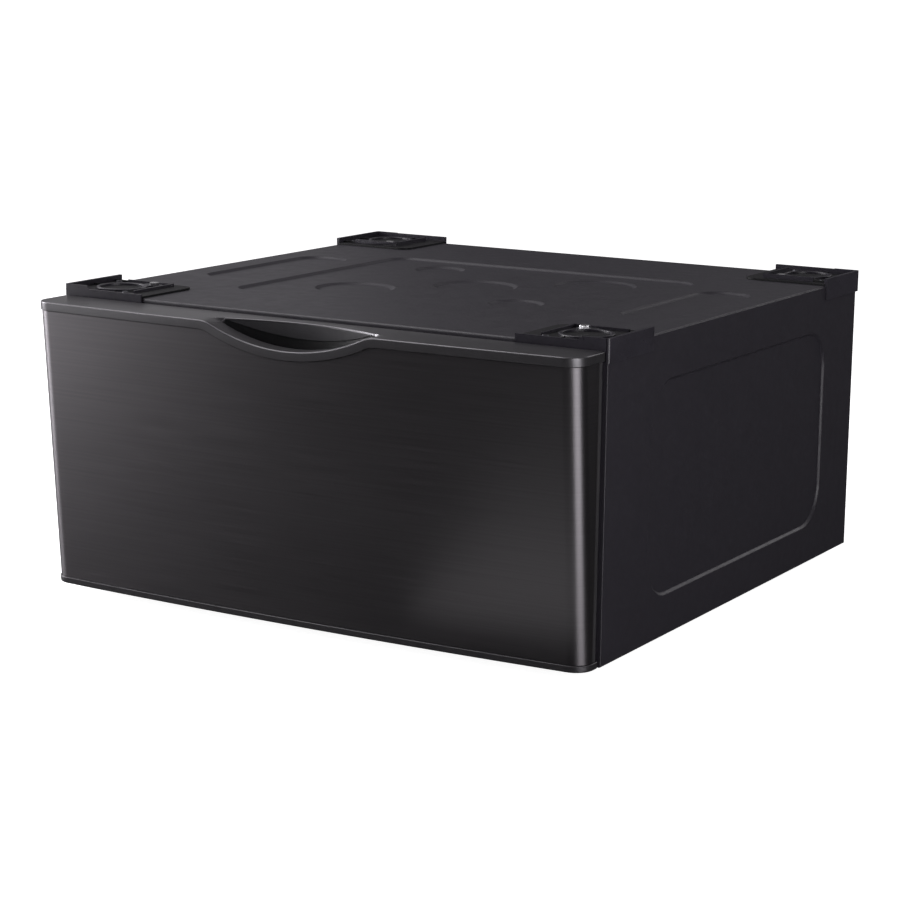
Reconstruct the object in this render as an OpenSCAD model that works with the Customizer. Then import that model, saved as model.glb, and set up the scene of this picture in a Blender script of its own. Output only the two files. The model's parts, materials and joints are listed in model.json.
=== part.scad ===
// Laundry pedestal: a low steel cabinet with one full-width storage drawer.
// Every module draws in cabinet coordinates: X across the width from the middle,
// Y from the cabinet's front plane towards the rear, Z up from the side panels' bottom edge.
// in_frame() then moves them so that the origin lies under the middle of the whole object.

/* [Cabinet] */
// Width across the side panels
cab_w = 686; // [670:2:710]
// Depth of the cabinet without the drawer front
cab_d = 650; // [640:5:700]
// Height from the bottom edge of the side panels to the top panel
cab_h = 330; // [328:1:345]
// Gap under the side panels with the legs screwed in
floor_gap = 12; // [11:0.5:14]
// Sheet thickness of the cabinet panels
sheet_t = 1; // [0.8:0.1:1.2]
// Depth of the pressed fields in the side panels
side_press = 3; // [2:0.5:4]
// Depth of the pressed field and pockets in the top panel
top_press = 3; // [2:0.5:4]

/* [Drawer front] */
// Reach of the front face ahead of the cabinet at its top edge
top_reach = 68; // [60:1:72]
// Reach of the front face ahead of the cabinet at its bottom edge
bottom_reach = 42; // [40:1:50]
// How far the front face bows out between its ends
front_bow = 8.5; // [5:0.5:10]
// Radius of the rounded vertical edges
edge_r = 20; // [12:1:22]
// Height of the plastic trim along the top edge
trim_h = 10; // [6:0.5:12]
// Height of the plastic trim along the bottom of the drawer front
foot_trim_h = 7.5; // [6:0.5:12]
// How far the plastic trims stand proud of the steel skin
trim_proud = 1.2; // [0.8:0.1:2]
// Depth of the dip for the hand
dip_depth = 24; // [20:1:28]
// Radius of the arc along the bottom of the dip
dip_r = 230; // [200:5:260]

/* [Drawer] */
// How far the drawer slides out
drawer_travel = 440; // [400:10:450]
// Depth of the drawer box
box_d = 560; // [520:5:580]
// Height of the drawer's side walls
box_h = 234; // [180:2:250]
// Length of slide that stays engaged when the drawer is fully out
slide_overlap = 68; // [50:2:80]

/* [Corner caps and legs] */
// Length of a corner cap along the side panel
cap_l = 101; // [95:1:110]
// Width of a corner cap along the front or rear
cap_w = 108; // [100:1:115]
// Height of a corner cap's wall above the top panel
cap_h = 8.5; // [7:0.5:10]
// How far a leg screws out
leg_travel = 16; // [8:1:16]
// Distance of a leg's axis from the side panel
leg_inset = 50; // [46:1:60]

/* [Hidden] */

round_fn = 96;
bow_fn = 1440;
eps = 0.5;
clear = 0.3;

// Cabinet
half_w = cab_w / 2;
cap_rear_proud = 4;
cap_side_proud = 2.3;
cap_front_proud = 3;
top_flange = 14;
bottom_flange = 24;
front_flange = 20;
rear_flange = 12;
inner_half_w = half_w - sheet_t;
flange_half_w = half_w - top_flange - 1;

// Pressed fields: lowest and highest edge along each direction, and corner radius
side_field_y = [102, 560];
side_field_z = [46, 277];
side_field_r = 46;
top_field_half_w = 209;
top_field_y = [129, 491];
top_field_r = 25;
pocket_x = [244, 307];
pocket_y = [202, 436];
pocket_r = 26;
dimple_press = 2.5;
dimples = [[-109, 235, 44], [-114, 433, 28], [-3, 330, 47], [107, 232, 29], [110, 415, 47]];

// Drawer front
front_half_w = half_w - 2;
front_bottom_z = 0.4;
front_top_z = cab_h - 4;
front_back_y = -6;
trim_bottom_z = front_bottom_z + foot_trim_h;
trim_top_z = front_top_z - trim_h;
skin_back_y = -16;
skin_t = 0.8;
lip_t = 3;
shelf_back_y = -46;
deck_t = 2.2;
bow_half = 325;
bow_r = (bow_half * bow_half + front_bow * front_bow) / (2 * front_bow);
tilt = atan((top_reach - bottom_reach) / (front_top_z - front_bottom_z));
outline_reach = bottom_reach * cos(tilt);
bow_centre_y = bow_r - outline_reach;
edge_x = front_half_w - edge_r;
edge_drop = bow_r - edge_r;
edge_y = bow_centre_y - sqrt(edge_drop * edge_drop - edge_x * edge_x);
tangent_x = edge_x * bow_r / edge_drop;
shoulder_r = 40;
dip_centre_z = front_top_z - dip_depth + dip_r;
dip_rise = dip_centre_z - front_top_z;
shoulder_x = sqrt((dip_r - dip_rise) * (dip_r + dip_rise + 2 * shoulder_r));
foremost = top_reach + trim_proud - (bow_r - sqrt(bow_r * bow_r - shoulder_x * shoulder_x));
cab_front_y = (foremost - cab_d - cap_rear_proud) / 2;
dip_turn = asin(shoulder_x / (dip_r + shoulder_r));
pocket_half_w = 94;
pocket_floor_z = 284;
pocket_wall = 2;
rim_mid_y = -24.3;
rim_r = 266;
skirt_t = 2;
skirt_drop = 17.6;
skirt_r = 275;

// Slides, measured inwards from the carrier as u and along Z from the slide's middle as v
slide_z = 150;
slide_y = 8;
slide_l = drawer_travel + slide_overlap;
slide_half_h = 22.8;
slide_depth = 12.7;
steel_t = 1.2;
ball_r = 2;
ball_play = 0.06;
ball_gap = 2 * (ball_r + ball_play);
middle_half_h = slide_half_h - steel_t - ball_gap;
inner_half_h = middle_half_h - steel_t - ball_gap;
outer_ball_v = slide_half_h - steel_t - ball_gap / 2;
inner_ball_v = middle_half_h - steel_t - ball_gap / 2;
middle_web_u = 3.2;
outer_lip_u = 9;
middle_lip_u = 10.8;
inner_lip_u = 6.2;
outer_ball_u = 6.4;
inner_ball_u = 8.4;
cage_t = 0.6;
cage_l = 200;
cage_y = slide_y + drawer_travel / 4 + 40;
ball_count = 9;
ball_pitch = 21;
screw_y = [40, 230, slide_l - 68];
inner_screw_shift = 20;
screw_r = 2;
screw_hole_r = 2.1;
countersink = 0.6;
carrier_half_h = 32;
box_half_w = 307;
carrier_x = box_half_w + slide_depth;

// Drawer box
box_floor_z = 38;
box_back_h = 210;
wall_t = 1;
hem = 8;
rib_half_w = 9;
rib_h = 2;
box_rear_y = front_back_y + box_d;

// Rails and legs
rail_t = 1.2;
top_rail_h = 26;
top_rail_d = 30;
bottom_rail_h = 24;
bottom_rail_d = 34;
base_rail_w = 30;
bracket_t = 3;
bracket_z = 8;
bracket_size = 84;
leg_r = 5;
thread_play = 0.05;
leg_x = half_w - leg_inset;
leg_front_y = 60;
leg_rear_y = cab_d - 60;
bottom_rail_half = leg_x - bracket_size / 2;
pad_r = 17;
pad_h = 6;
leg_hex_h = 4;
weld_nut_h = 8;
leg_top_z = bracket_z + bracket_t + weld_nut_h + leg_travel;
nut_af = 17;
lock_nut_h = 5;

// Corner caps, drawn in the front-left corner: X inwards, Y rearwards, Z from the top panel
cap_plate_t = 2.3;
cap_skirt = 16.5;
cap_low_wall = 4.6;
cap_step_x = 29;
seat = [46, 41];
seat_r = 29;
seat_wall = 4;
seat_h = 5;
bolt_at = [66, 74];
seat_plate_z = cap_plate_t + 0.3;
clamp_t = 1.5;
clamp_reach = 14;
clamp_r = 9;
clamp_arm_half = 6;
bolt_head_af = 10;
bolt_head_h = 3;
bolt_r = 3;
bolt_l = 16;
bolt_hole_r = 3.3;
cap_nut_h = 6;

module in_frame() translate([0, cab_front_y, floor_gap]) children();

module both_sides() {
  children();
  mirror([1, 0, 0]) children();
}

// Box from its lowest corner to its highest corner
module span(lo, hi) translate(lo) cube(hi - lo);

module tube_z(r, h) cylinder(r = r, h = h, $fn = round_fn);

module rounded_rect(lo, hi, r) {
  translate([lo[0] + r, lo[1]]) square([hi[0] - lo[0] - 2 * r, hi[1] - lo[1]]);
  translate([lo[0], lo[1] + r]) square([hi[0] - lo[0], hi[1] - lo[1] - 2 * r]);
  for (x = [lo[0] + r, hi[0] - r])
    for (y = [lo[1] + r, hi[1] - r])
      translate([x, y]) circle(r, $fn = round_fn);
}

module hex_prism(af, h) cylinder(r = af / sqrt(3), h = h, $fn = 6);

// Pan-head screw along +Z with its seat at Z = 0 and its shank below
module pan_screw(shank_r, length) {
  translate([0, 0, -length]) cylinder(r = shank_r, h = length, $fn = 24);
  difference() {
    cylinder(r1 = shank_r * 2, r2 = shank_r * 1.5, h = shank_r, $fn = 48);
    for (a = [0, 90])
      rotate([0, 0, a])
        span([-shank_r, -0.3, shank_r * 0.5], [shank_r, 0.3, shank_r + eps]);
  }
}

// ---- cabinet panels ----

module top_field_shape(grow) {
  rounded_rect([-top_field_half_w - grow, top_field_y[0] - grow],
    [top_field_half_w + grow, top_field_y[1] + grow], top_field_r + grow);
}

module pocket_shape(grow) {
  rounded_rect([pocket_x[0] - grow, pocket_y[0] - grow],
    [pocket_x[1] + grow, pocket_y[1] + grow], pocket_r + grow);
}

module top_panel() {
  under = cab_h - sheet_t;
  color([0.17, 0.16, 0.18])
    difference() {
      union() {
        span([-half_w + 0.4, 1, under], [half_w - 0.4, cab_d - 1, cab_h]);
        span([-flange_half_w, 1, under - 12], [flange_half_w, 1 + sheet_t, under + eps]);
        translate([0, 0, under - top_press]) linear_extrude(top_press + eps) top_field_shape(sheet_t);
        both_sides()
          translate([0, 0, under - top_press]) linear_extrude(top_press + eps) pocket_shape(sheet_t);
        for (d = dimples)
          translate([d[0], d[1], under - top_press - dimple_press])
            tube_z(d[2] + sheet_t, top_press);
      }
      translate([0, 0, cab_h - top_press]) linear_extrude(top_press + eps) top_field_shape(0);
      both_sides()
        translate([0, 0, cab_h - top_press]) linear_extrude(top_press + eps) pocket_shape(0);
      for (d = dimples)
        translate([d[0], d[1], cab_h - top_press - dimple_press]) tube_z(d[2], top_press + eps);
      cap_holes();
    }
}

// The right-hand side panel; the left one is its mirror image
module side_panel() {
  top = cab_h - sheet_t;
  color([0.14, 0.14, 0.15])
    difference() {
      union() {
        span([inner_half_w, 0, 0], [half_w, cab_d, top]);
        span([half_w - top_flange, 0, top - sheet_t], [half_w, cab_d, top]);
        span([half_w - bottom_flange, 0, 0], [half_w, cab_d, sheet_t]);
        span([half_w - front_flange, 0, 0], [half_w, sheet_t, top]);
        span([half_w - rear_flange, cab_d - sheet_t, 0], [half_w, cab_d, top]);
        translate([inner_half_w - side_press, 0, 0]) side_field(sheet_t, side_press + eps);
      }
      translate([half_w - side_press, 0, 0]) side_field(0, side_press + eps);
      rear_screw_holes();
      cap_holes();
    }
}

module side_field(grow, depth) {
  rotate([90, 0, 90])
    linear_extrude(depth)
      rounded_rect([side_field_y[0] - grow, side_field_z[0] - grow],
        [side_field_y[1] + grow, side_field_z[1] + grow], side_field_r + grow);
}

module rear_panel() {
  y = cab_d - sheet_t;
  top = cab_h - 2 * sheet_t;
  bead_r = 9;
  color([0.14, 0.14, 0.15])
    difference() {
      union() {
        span([-inner_half_w + 1, y - sheet_t, sheet_t], [inner_half_w - 1, y, top]);
        span([-flange_half_w, y - 16, top], [flange_half_w, y, top + sheet_t]);
        for (z = [95, 165, 235]) rear_bead(bead_r + sheet_t, y - sheet_t - side_press, z);
      }
      for (z = [95, 165, 235]) rear_bead(bead_r, y - side_press, z);
      rear_screw_holes();
      cap_holes();
    }
}

module rear_screw_holes() {
  for (p = rear_screw_spots())
    translate([p[0], cab_d - 6, p[1]])
      rotate([-90, 0, 0]) tube_z(screw_hole_r, 10);
}

module rear_bead(r, y, z) {
  translate([0, y, z])
    rotate([-90, 0, 0])
      linear_extrude(side_press + eps)
        rounded_rect([-250 - r, -r], [250 + r, r], r - 0.01);
}

function rear_screw_spots() = [for (s = [-1, 1]) for (z = [30, 160, 290]) [s * (half_w - 7), z]];

module rear_panel_screws() {
  color([0.7, 0.7, 0.7])
    for (p = rear_screw_spots())
      translate([p[0], cab_d, p[1]]) rotate([-90, 0, 0]) pan_screw(screw_r, 8);
}

// ---- frame inside the cabinet ----

// Channel along X, open towards the rear or the front
module cross_channel(half_l, y_lo, y_hi, z_lo, z_hi, open_rear) {
  y_cut_lo = open_rear ? y_lo + rail_t : y_lo - eps;
  y_cut_hi = open_rear ? y_hi + eps : y_hi - rail_t;
  difference() {
    span([-half_l, y_lo, z_lo], [half_l, y_hi, z_hi]);
    span([-half_l - eps, y_cut_lo, z_lo + rail_t], [half_l + eps, y_cut_hi, z_hi - rail_t]);
  }
}

module front_top_rail() {
  top = cab_h - 2 * sheet_t;
  y = 1 + sheet_t;
  color([0.55, 0.56, 0.58])
    difference() {
      cross_channel(inner_half_w, y, y + top_rail_d, top - top_rail_h, top, true);
      cap_holes();
    }
}

module front_bottom_rail() {
  color([0.55, 0.56, 0.58])
    cross_channel(bottom_rail_half, 1, 1 + bottom_rail_d, 0, bottom_rail_h, true);
}

module rear_bottom_rail() {
  y = cab_d - 2 * sheet_t;
  color([0.55, 0.56, 0.58])
    cross_channel(bottom_rail_half, y - bottom_rail_d, y, sheet_t, bottom_rail_h, false);
}

module base_rail() {
  x = inner_half_w;
  y_lo = leg_front_y + bracket_size / 2 + 1;
  y_hi = leg_rear_y - bracket_size / 2 - 1;
  color([0.55, 0.56, 0.58])
    difference() {
      span([x - base_rail_w, y_lo, sheet_t], [x, y_hi, sheet_t + 20]);
      span([x - base_rail_w + rail_t, y_lo - eps, sheet_t + rail_t], [x - rail_t, y_hi + eps, sheet_t + 21]);
    }
}

module at_each_leg() {
  for (x = [-leg_x, leg_x])
    for (y = [leg_front_y, leg_rear_y])
      translate([x, y, 0]) children();
}

// Folded corner plate that carries the leg's thread
module leg_bracket() {
  half = bracket_size / 2;
  x_out = leg_inset - sheet_t;
  difference() {
    union() {
      span([-half, -half, bracket_z], [x_out, half, bracket_z + bracket_t]);
      span([-half, -half, 0], [-half + bracket_t, half, bracket_z + eps]);
      span([x_out - bracket_t, -half, bracket_z], [x_out, half, bracket_z + 34]);
    }
    translate([0, 0, bracket_z - eps]) tube_z(leg_r + 0.5, bracket_t + 2 * eps);
  }
}

module leg_brackets() {
  color([0.55, 0.56, 0.58])
    both_sides()
      for (y = [leg_front_y, leg_rear_y])
        translate([leg_x, y, 0]) leg_bracket();
}

module threaded_nut(h) {
  difference() {
    hex_prism(nut_af, h);
    translate([0, 0, -eps]) tube_z(leg_r + thread_play, h + 2 * eps);
  }
}

module leg_weld_nuts() {
  color([0.75, 0.75, 0.76])
    at_each_leg() translate([0, 0, bracket_z + bracket_t]) threaded_nut(weld_nut_h);
}

module leg_lock_nuts() {
  color([0.75, 0.75, 0.76])
    at_each_leg() translate([0, 0, bracket_z - lock_nut_h]) threaded_nut(lock_nut_h);
}

module leg_stud() {
  color([0.75, 0.75, 0.76]) {
    translate([0, 0, pad_h - floor_gap - 2]) tube_z(leg_r, leg_top_z + floor_gap - pad_h + 2);
    translate([0, 0, pad_h - floor_gap]) hex_prism(nut_af, leg_hex_h);
    translate([0, 0, pad_h - floor_gap - 2]) tube_z(11, 2);
  }
}

module foot_pad() {
  color([0.06, 0.06, 0.06])
    translate([0, 0, -floor_gap])
      difference() {
        union() {
          tube_z(pad_r, pad_h - 2);
          translate([0, 0, pad_h - 2]) cylinder(r1 = pad_r, r2 = 13, h = 2, $fn = round_fn);
        }
        translate([0, 0, pad_h - 2]) tube_z(11, 3);
      }
}

// ---- ball-bearing slides ----

// C profile along Y: web at u_web, lips reaching to u_lip, half height v; +u points inwards
module c_profile(u_web, u_lip, v, y_lo, y_hi) {
  web_hi = u_lip > u_web ? u_web + steel_t : u_web;
  web_lo = u_lip > u_web ? u_web : u_web - steel_t;
  lip_lo = min(u_lip, web_lo);
  lip_hi = max(u_lip, web_hi);
  span([web_lo, y_lo, -v], [web_hi, y_hi, v]);
  for (s = [-1, 1])
    translate([0, 0, s > 0 ? v - steel_t : -v])
      span([lip_lo, y_lo, 0], [lip_hi, y_hi, steel_t]);
}

// Places slide parts on the right-hand carrier
module on_right() {
  translate([carrier_x, 0, slide_z]) mirror([1, 0, 0]) children();
}

module on_left() mirror([1, 0, 0]) on_right() children();

module outer_slide() {
  color([0.72, 0.73, 0.75])
    difference() {
      c_profile(0, outer_lip_u, slide_half_h, slide_y, slide_y + slide_l);
      for (y = screw_y)
        translate([0, slide_y + y, 0]) rotate([0, 90, 0]) {
          translate([0, 0, -eps]) tube_z(screw_hole_r, 3);
          translate([0, 0, countersink]) tube_z(2.1 * screw_r, 3);
        }
    }
}

module middle_slide() {
  color([0.72, 0.73, 0.75])
    c_profile(middle_web_u, middle_lip_u, middle_half_h, slide_y, slide_y + slide_l);
}

module inner_slide() {
  color([0.72, 0.73, 0.75])
    difference() {
      c_profile(slide_depth, inner_lip_u, inner_half_h, slide_y, slide_y + slide_l);
      for (y = screw_y)
        translate([slide_depth - 2, slide_y + y + inner_screw_shift, 0])
          rotate([0, 90, 0]) tube_z(screw_hole_r, 3);
    }
}

module ball_cage(web_u, strip_hi, v, ball_u) {
  color([0.80, 0.74, 0.52])
    difference() {
      union() {
        span([web_u, cage_y, -v - cage_t / 2], [web_u + cage_t, cage_y + cage_l, v + cage_t / 2]);
        for (s = [-1, 1])
          span([web_u, cage_y, s * v - cage_t / 2], [strip_hi, cage_y + cage_l, s * v + cage_t / 2]);
      }
      for (s = [-1, 1])
        for (i = [0:ball_count - 1])
          translate([ball_u, ball_spot(i), s * v - 1]) cylinder(r = ball_r + 0.05, h = 2, $fn = 32);
    }
}

function ball_spot(i) = cage_y + cage_l / 2 + (i - (ball_count - 1) / 2) * ball_pitch;

module ball_rows(ball_u, v) {
  color([0.85, 0.86, 0.88])
    for (s = [-1, 1])
      for (i = [0:ball_count - 1])
        translate([ball_u, ball_spot(i), s * v]) sphere(r = ball_r, $fn = 24);
}

module outer_ball_cage() ball_cage(1.9, 8.8, outer_ball_v, outer_ball_u);
module inner_ball_cage() ball_cage(5.0, 10.6, inner_ball_v, inner_ball_u);
module outer_balls() ball_rows(outer_ball_u, outer_ball_v);
module inner_balls() ball_rows(inner_ball_u, inner_ball_v);

// Channel between the side panel's front flange and the rear panel
module slide_carrier() {
  color([0.55, 0.56, 0.58])
    difference() {
      span([carrier_x, sheet_t, slide_z - carrier_half_h],
        [inner_half_w - side_press, cab_d - 2 * sheet_t, slide_z + carrier_half_h]);
      span([carrier_x + rail_t, 0, slide_z - carrier_half_h + rail_t],
        [half_w, cab_d, slide_z + carrier_half_h - rail_t]);
      for (y = screw_y)
        translate([carrier_x - 1, slide_y + y, slide_z]) rotate([0, 90, 0]) tube_z(screw_hole_r, 4);
    }
}

module outer_slide_screws() {
  color([0.75, 0.75, 0.76])
    both_sides()
      for (y = screw_y)
        translate([carrier_x - countersink, slide_y + y, slide_z])
          rotate([0, -90, 0]) low_screw(screw_r, 6, steel_t - countersink);
}

module inner_slide_screws() {
  color([0.75, 0.75, 0.76])
    both_sides()
      for (y = screw_y)
        translate([carrier_x - slide_depth + steel_t, slide_y + y + inner_screw_shift, slide_z])
          rotate([0, 90, 0]) low_screw(screw_r, 4, 1.2);
}

// Flat-topped screw along +Z with its seat at Z = 0
module low_screw(shank_r, length, head_h) {
  translate([0, 0, -length]) cylinder(r = shank_r, h = length, $fn = 24);
  cylinder(r = shank_r * 2, h = head_h, $fn = 48);
}

// ---- corner caps ----

module cap_plate_shape() {
  r = 14;
  translate([-0.1, -0.6]) square([cap_w - cap_side_proud - r, cap_l - cap_front_proud]);
  translate([-0.1, -0.6]) square([cap_w - cap_side_proud, cap_l - cap_front_proud - r]);
  translate([cap_w - cap_side_proud - r - 0.1, cap_l - cap_front_proud - r - 0.6]) circle(r, $fn = round_fn);
}

// Cap in the front-left corner of a panel whose corner is at the origin
module corner_cap(end_proud, end_low, end_skirt, fence_h) {
  step = cap_h - end_low;
  difference() {
    union() {
      translate([0, 0, 0.1]) linear_extrude(cap_plate_t) cap_plate_shape();
      span([-cap_side_proud, -end_proud, -cap_skirt], [-0.1, cap_l - end_proud, cap_h]);
      span([-cap_side_proud, -end_proud, -end_skirt], [cap_w - cap_side_proud, -0.6, end_low]);
      translate([0, -0.6, 0])
        rotate([90, 0, 0])
          linear_extrude(end_proud - 0.6)
            polygon([[-cap_side_proud, 0], [cap_step_x + step, 0], [cap_step_x + step, end_low],
              [cap_step_x, cap_h], [-cap_side_proud, cap_h]]);
      translate([seat[0], seat[1], 0.1]) tube_z(seat_r, seat_h - 0.1);
      translate([bolt_at[0], bolt_at[1], 0.1]) tube_z(11, seat_plate_z - 0.1);
      span([82, 14, 0.1], [84.5, 82, fence_h]);
      span([20, 84, 0.1], [84.5, 86.5, fence_h]);
    }
    translate([seat[0], seat[1], cap_plate_t]) tube_z(seat_r - seat_wall, seat_h);
    translate([bolt_at[0], bolt_at[1], -1]) tube_z(bolt_hole_r, 10);
    translate([bolt_at[0], bolt_at[1], seat_plate_z]) linear_extrude(6) clamp_shape(clear);
    translate([0, 0, -1])
      linear_extrude(5)
        polygon([[86.5, 10], [99, 10], [99, 62]]);
    for (p = cap_screw_spots()) translate([p[0], p[1], -1]) tube_z(screw_hole_r, 6);
  }
}

function cap_screw_spots() = [[12, 78], [76, 8]];

// Holes under every cap for its two screws and its bolt
module cap_holes() {
  at_all_corners() {
    for (p = cap_screw_spots()) translate([p[0], p[1], -8]) tube_z(screw_hole_r, 10);
    translate([bolt_at[0], bolt_at[1], -8]) tube_z(bolt_hole_r, 10);
  }
}

module at_corner(rear, right) {
  mirror([right, 0, 0])
    translate([-half_w, rear * cab_d, cab_h])
      mirror([0, rear, 0])
        children();
}

module front_cap() {
  color([0.07, 0.07, 0.08]) corner_cap(cap_front_proud, cap_low_wall, 6, 5.5);
}

module rear_cap() {
  color([0.07, 0.07, 0.08]) corner_cap(cap_rear_proud, cap_h - 0.5, 12, cap_h - 1);
}

module at_all_corners() {
  for (rear = [0, 1])
    for (right = [0, 1])
      at_corner(rear, right) children();
}

// Outline of the clamp round its bolt: a disc with an arm towards the side of the cabinet
module clamp_shape(grow) {
  translate([-clamp_reach - grow, -clamp_arm_half - grow])
    square([clamp_reach + grow, 2 * (clamp_arm_half + grow)]);
  circle(clamp_r + grow, $fn = round_fn);
}

module clamp_plate() {
  translate([bolt_at[0], bolt_at[1], seat_plate_z])
    difference() {
      linear_extrude(clamp_t) clamp_shape(0);
      translate([0, 0, -1]) tube_z(bolt_hole_r, clamp_t + 2);
    }
}

module cap_clamps() {
  color([0.45, 0.45, 0.47]) at_all_corners() clamp_plate();
}

module cap_bolts() {
  color([0.80, 0.80, 0.80])
    at_all_corners()
      translate([bolt_at[0], bolt_at[1], seat_plate_z + clamp_t]) {
        translate([0, 0, -bolt_l]) tube_z(bolt_r, bolt_l);
        hex_prism(bolt_head_af, bolt_head_h);
      }
}

// Weld nuts under the top panel that the cap bolts screw into
module cap_weld_nuts() {
  color([0.75, 0.75, 0.76])
    at_all_corners()
      translate([bolt_at[0], bolt_at[1], -sheet_t - cap_nut_h])
        difference() {
          hex_prism(bolt_head_af, cap_nut_h);
          translate([0, 0, -eps]) tube_z(bolt_r + thread_play, cap_nut_h + 2 * eps);
        }
}

module cap_screws() {
  color([0.35, 0.35, 0.36])
    at_all_corners()
      for (p = cap_screw_spots())
        translate([p[0], p[1], cap_plate_t + 0.1]) pan_screw(screw_r, 8);
}

// ---- drawer front ----

// Plan outline of the front: bowed face, rounded ends, straight sides
module front_outline(grow) {
  intersection() {
    translate([0, bow_centre_y]) circle(bow_r + grow, $fn = bow_fn);
    translate([-tangent_x, -100]) square([2 * tangent_x, 160]);
  }
  for (s = [-1, 1])
    translate([s * edge_x, edge_y]) circle(edge_r + grow, $fn = round_fn);
  translate([-front_half_w - grow, edge_y]) square([2 * (front_half_w + grow), 60 - edge_y]);
}

// Solid behind the tilted front face, between two heights and in front of y_back
module front_block(grow, z_lo, z_hi, y_back) {
  intersection() {
    translate([0, 0, front_bottom_z])
      rotate([tilt, 0, 0])
        translate([0, 0, -30])
          linear_extrude(cab_h + 60)
            front_outline(grow);
    span([-half_w, -120, z_lo], [half_w, y_back, z_hi]);
  }
}

// What the handle dip takes away from the top edge, in the X-Z plane, inset downwards
module dip_shape(inset) {
  top = front_top_z - inset;
  wide = half_w + 20;
  polygon(concat([[-wide, top]], dip_edge(inset), [[wide, top], [wide, top + 60], [-wide, top + 60]]));
}

function arc(centre, r, from, to, steps) = [
  for (i = [0:steps])
    let (a = from + (to - from) * i / steps)
      centre + r * [cos(a), sin(a)]
];

// The edge of the dip from the left shoulder to the right one, as three tangent arcs
function dip_edge(inset) = concat(
  arc([-shoulder_x, front_top_z - shoulder_r], shoulder_r - inset, 90, 90 - dip_turn, 8),
  arc([0, dip_centre_z], dip_r + inset, -90 - dip_turn + 1, -90 + dip_turn - 1, 24),
  arc([shoulder_x, front_top_z - shoulder_r], shoulder_r - inset, 90 + dip_turn, 90, 8));

module dip_cut(inset, y_lo, y_hi) {
  translate([0, y_hi, 0])
    rotate([90, 0, 0])
      linear_extrude(y_hi - y_lo)
        dip_shape(inset);
}

module front_skin() {
  color([0.20, 0.20, 0.21])
    difference() {
      front_block(0, trim_bottom_z, front_top_z, skin_back_y);
      front_block(-skin_t, 0, cab_h, 0);
      dip_cut(trim_h, -120, 0);
    }
}

// Upright cylinder whose rear side is the curved rim of the handle opening
module rim_block(grow, z_lo, z_hi) {
  translate([0, rim_mid_y - rim_r, z_lo]) cylinder(r = rim_r + grow, h = z_hi - z_lo, $fn = 4 * round_fn);
}

module front_top_trim() {
  under = front_top_z - deck_t;
  color([0.16, 0.16, 0.17]) {
    difference() {
      intersection() {
        front_block(trim_proud, pocket_floor_z, front_top_z, front_back_y);
        dip_cut(trim_h, -120, 0);
      }
      front_block(-lip_t, 0, under, 0);
      intersection() {
        dip_cut(0, -120, 0);
        rim_block(0, pocket_floor_z, cab_h);
      }
    }
    grip_shelf();
    rim_skirt(under);
  }
}

// Flat shelf at the foot of the dip, from the lip back to the gap for the fingers
module grip_shelf() {
  difference() {
    intersection() {
      front_block(-lip_t + 0.5, pocket_floor_z, front_top_z, shelf_back_y);
      dip_cut(deck_t, -120, 0);
      span([-pocket_half_w, -120, 0], [pocket_half_w, 0, cab_h]);
    }
    dip_cut(0, -120, 0);
  }
}

// Wall that hangs from the rear rim of the handle opening, arched along its lower edge
module rim_skirt(top) {
  half = pocket_half_w + skirt_t;
  difference() {
    intersection() {
      rim_block(skirt_t, pocket_floor_z, top);
      span([-half, -60, pocket_floor_z], [half, 0, top]);
      translate([0, 0, front_top_z - skirt_drop + skirt_r])
        rotate([90, 0, 0])
          cylinder(r = skirt_r, h = 60, $fn = 4 * round_fn);
    }
    rim_block(0, 0, cab_h);
  }
}

module front_bottom_trim() {
  color([0.16, 0.16, 0.17])
    difference() {
      front_block(trim_proud, front_bottom_z, trim_bottom_z, front_back_y);
      front_block(-lip_t, front_bottom_z + deck_t, cab_h, 0);
    }
}

module handle_pocket() {
  outer_half = pocket_half_w + pocket_wall;
  skin_gap = skin_t + 0.2;
  under = front_top_z - deck_t;
  color([0.10, 0.10, 0.11])
    difference() {
      intersection() {
        front_block(-skin_gap, pocket_floor_z, under, front_back_y);
        rim_block(skirt_t + pocket_wall, pocket_floor_z, under);
        span([-outer_half, -120, 0], [outer_half, 0, cab_h]);
      }
      intersection() {
        dip_cut(trim_h, -120, 0);
        rim_block(skirt_t, pocket_floor_z, cab_h);
      }
      intersection() {
        front_block(-skin_gap - pocket_wall, pocket_floor_z + pocket_wall, cab_h, 0);
        rim_block(skirt_t, pocket_floor_z, cab_h);
        span([-pocket_half_w, -120, 0], [pocket_half_w, 0, cab_h]);
      }
    }
}

// Steel pan that closes the back of the front and carries the drawer box
module front_inner_panel() {
  half = front_half_w - 1;
  color([0.30, 0.30, 0.31])
    difference() {
      span([-half, skin_back_y, trim_bottom_z], [half, front_back_y, trim_top_z]);
      span([-half + wall_t, skin_back_y - eps, trim_bottom_z + wall_t],
        [half - wall_t, front_back_y - wall_t, trim_top_z - wall_t]);
      for (p = front_screw_spots())
        translate([p[0], front_back_y - 4, p[1]]) rotate([-90, 0, 0]) tube_z(screw_hole_r, 8);
    }
}

// Hat channels between the skin and the inner panel
module front_stiffeners() {
  color([0.55, 0.56, 0.58])
    for (x = [-215, 0, 215])
      difference() {
        intersection() {
          front_block(-skin_t - 0.2, 0, cab_h, front_back_y - wall_t);
          span([x - 20, -120, 20], [x + 20, 0, 270]);
        }
        intersection() {
          front_block(-skin_t - 0.2 - wall_t, 0, cab_h, 0);
          span([x - 20 + wall_t, -120, 0], [x + 20 - wall_t, 0, cab_h]);
        }
      }
}

function front_screw_spots() =
  [for (s = [-1, 1]) for (z = [70, 150, 240]) [s * (box_half_w - 8), z]];

module front_panel_screws() {
  color([0.75, 0.75, 0.76])
    for (p = front_screw_spots())
      translate([p[0], front_back_y + wall_t, p[1]]) rotate([-90, 0, 0]) pan_screw(screw_r, 8);
}

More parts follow.
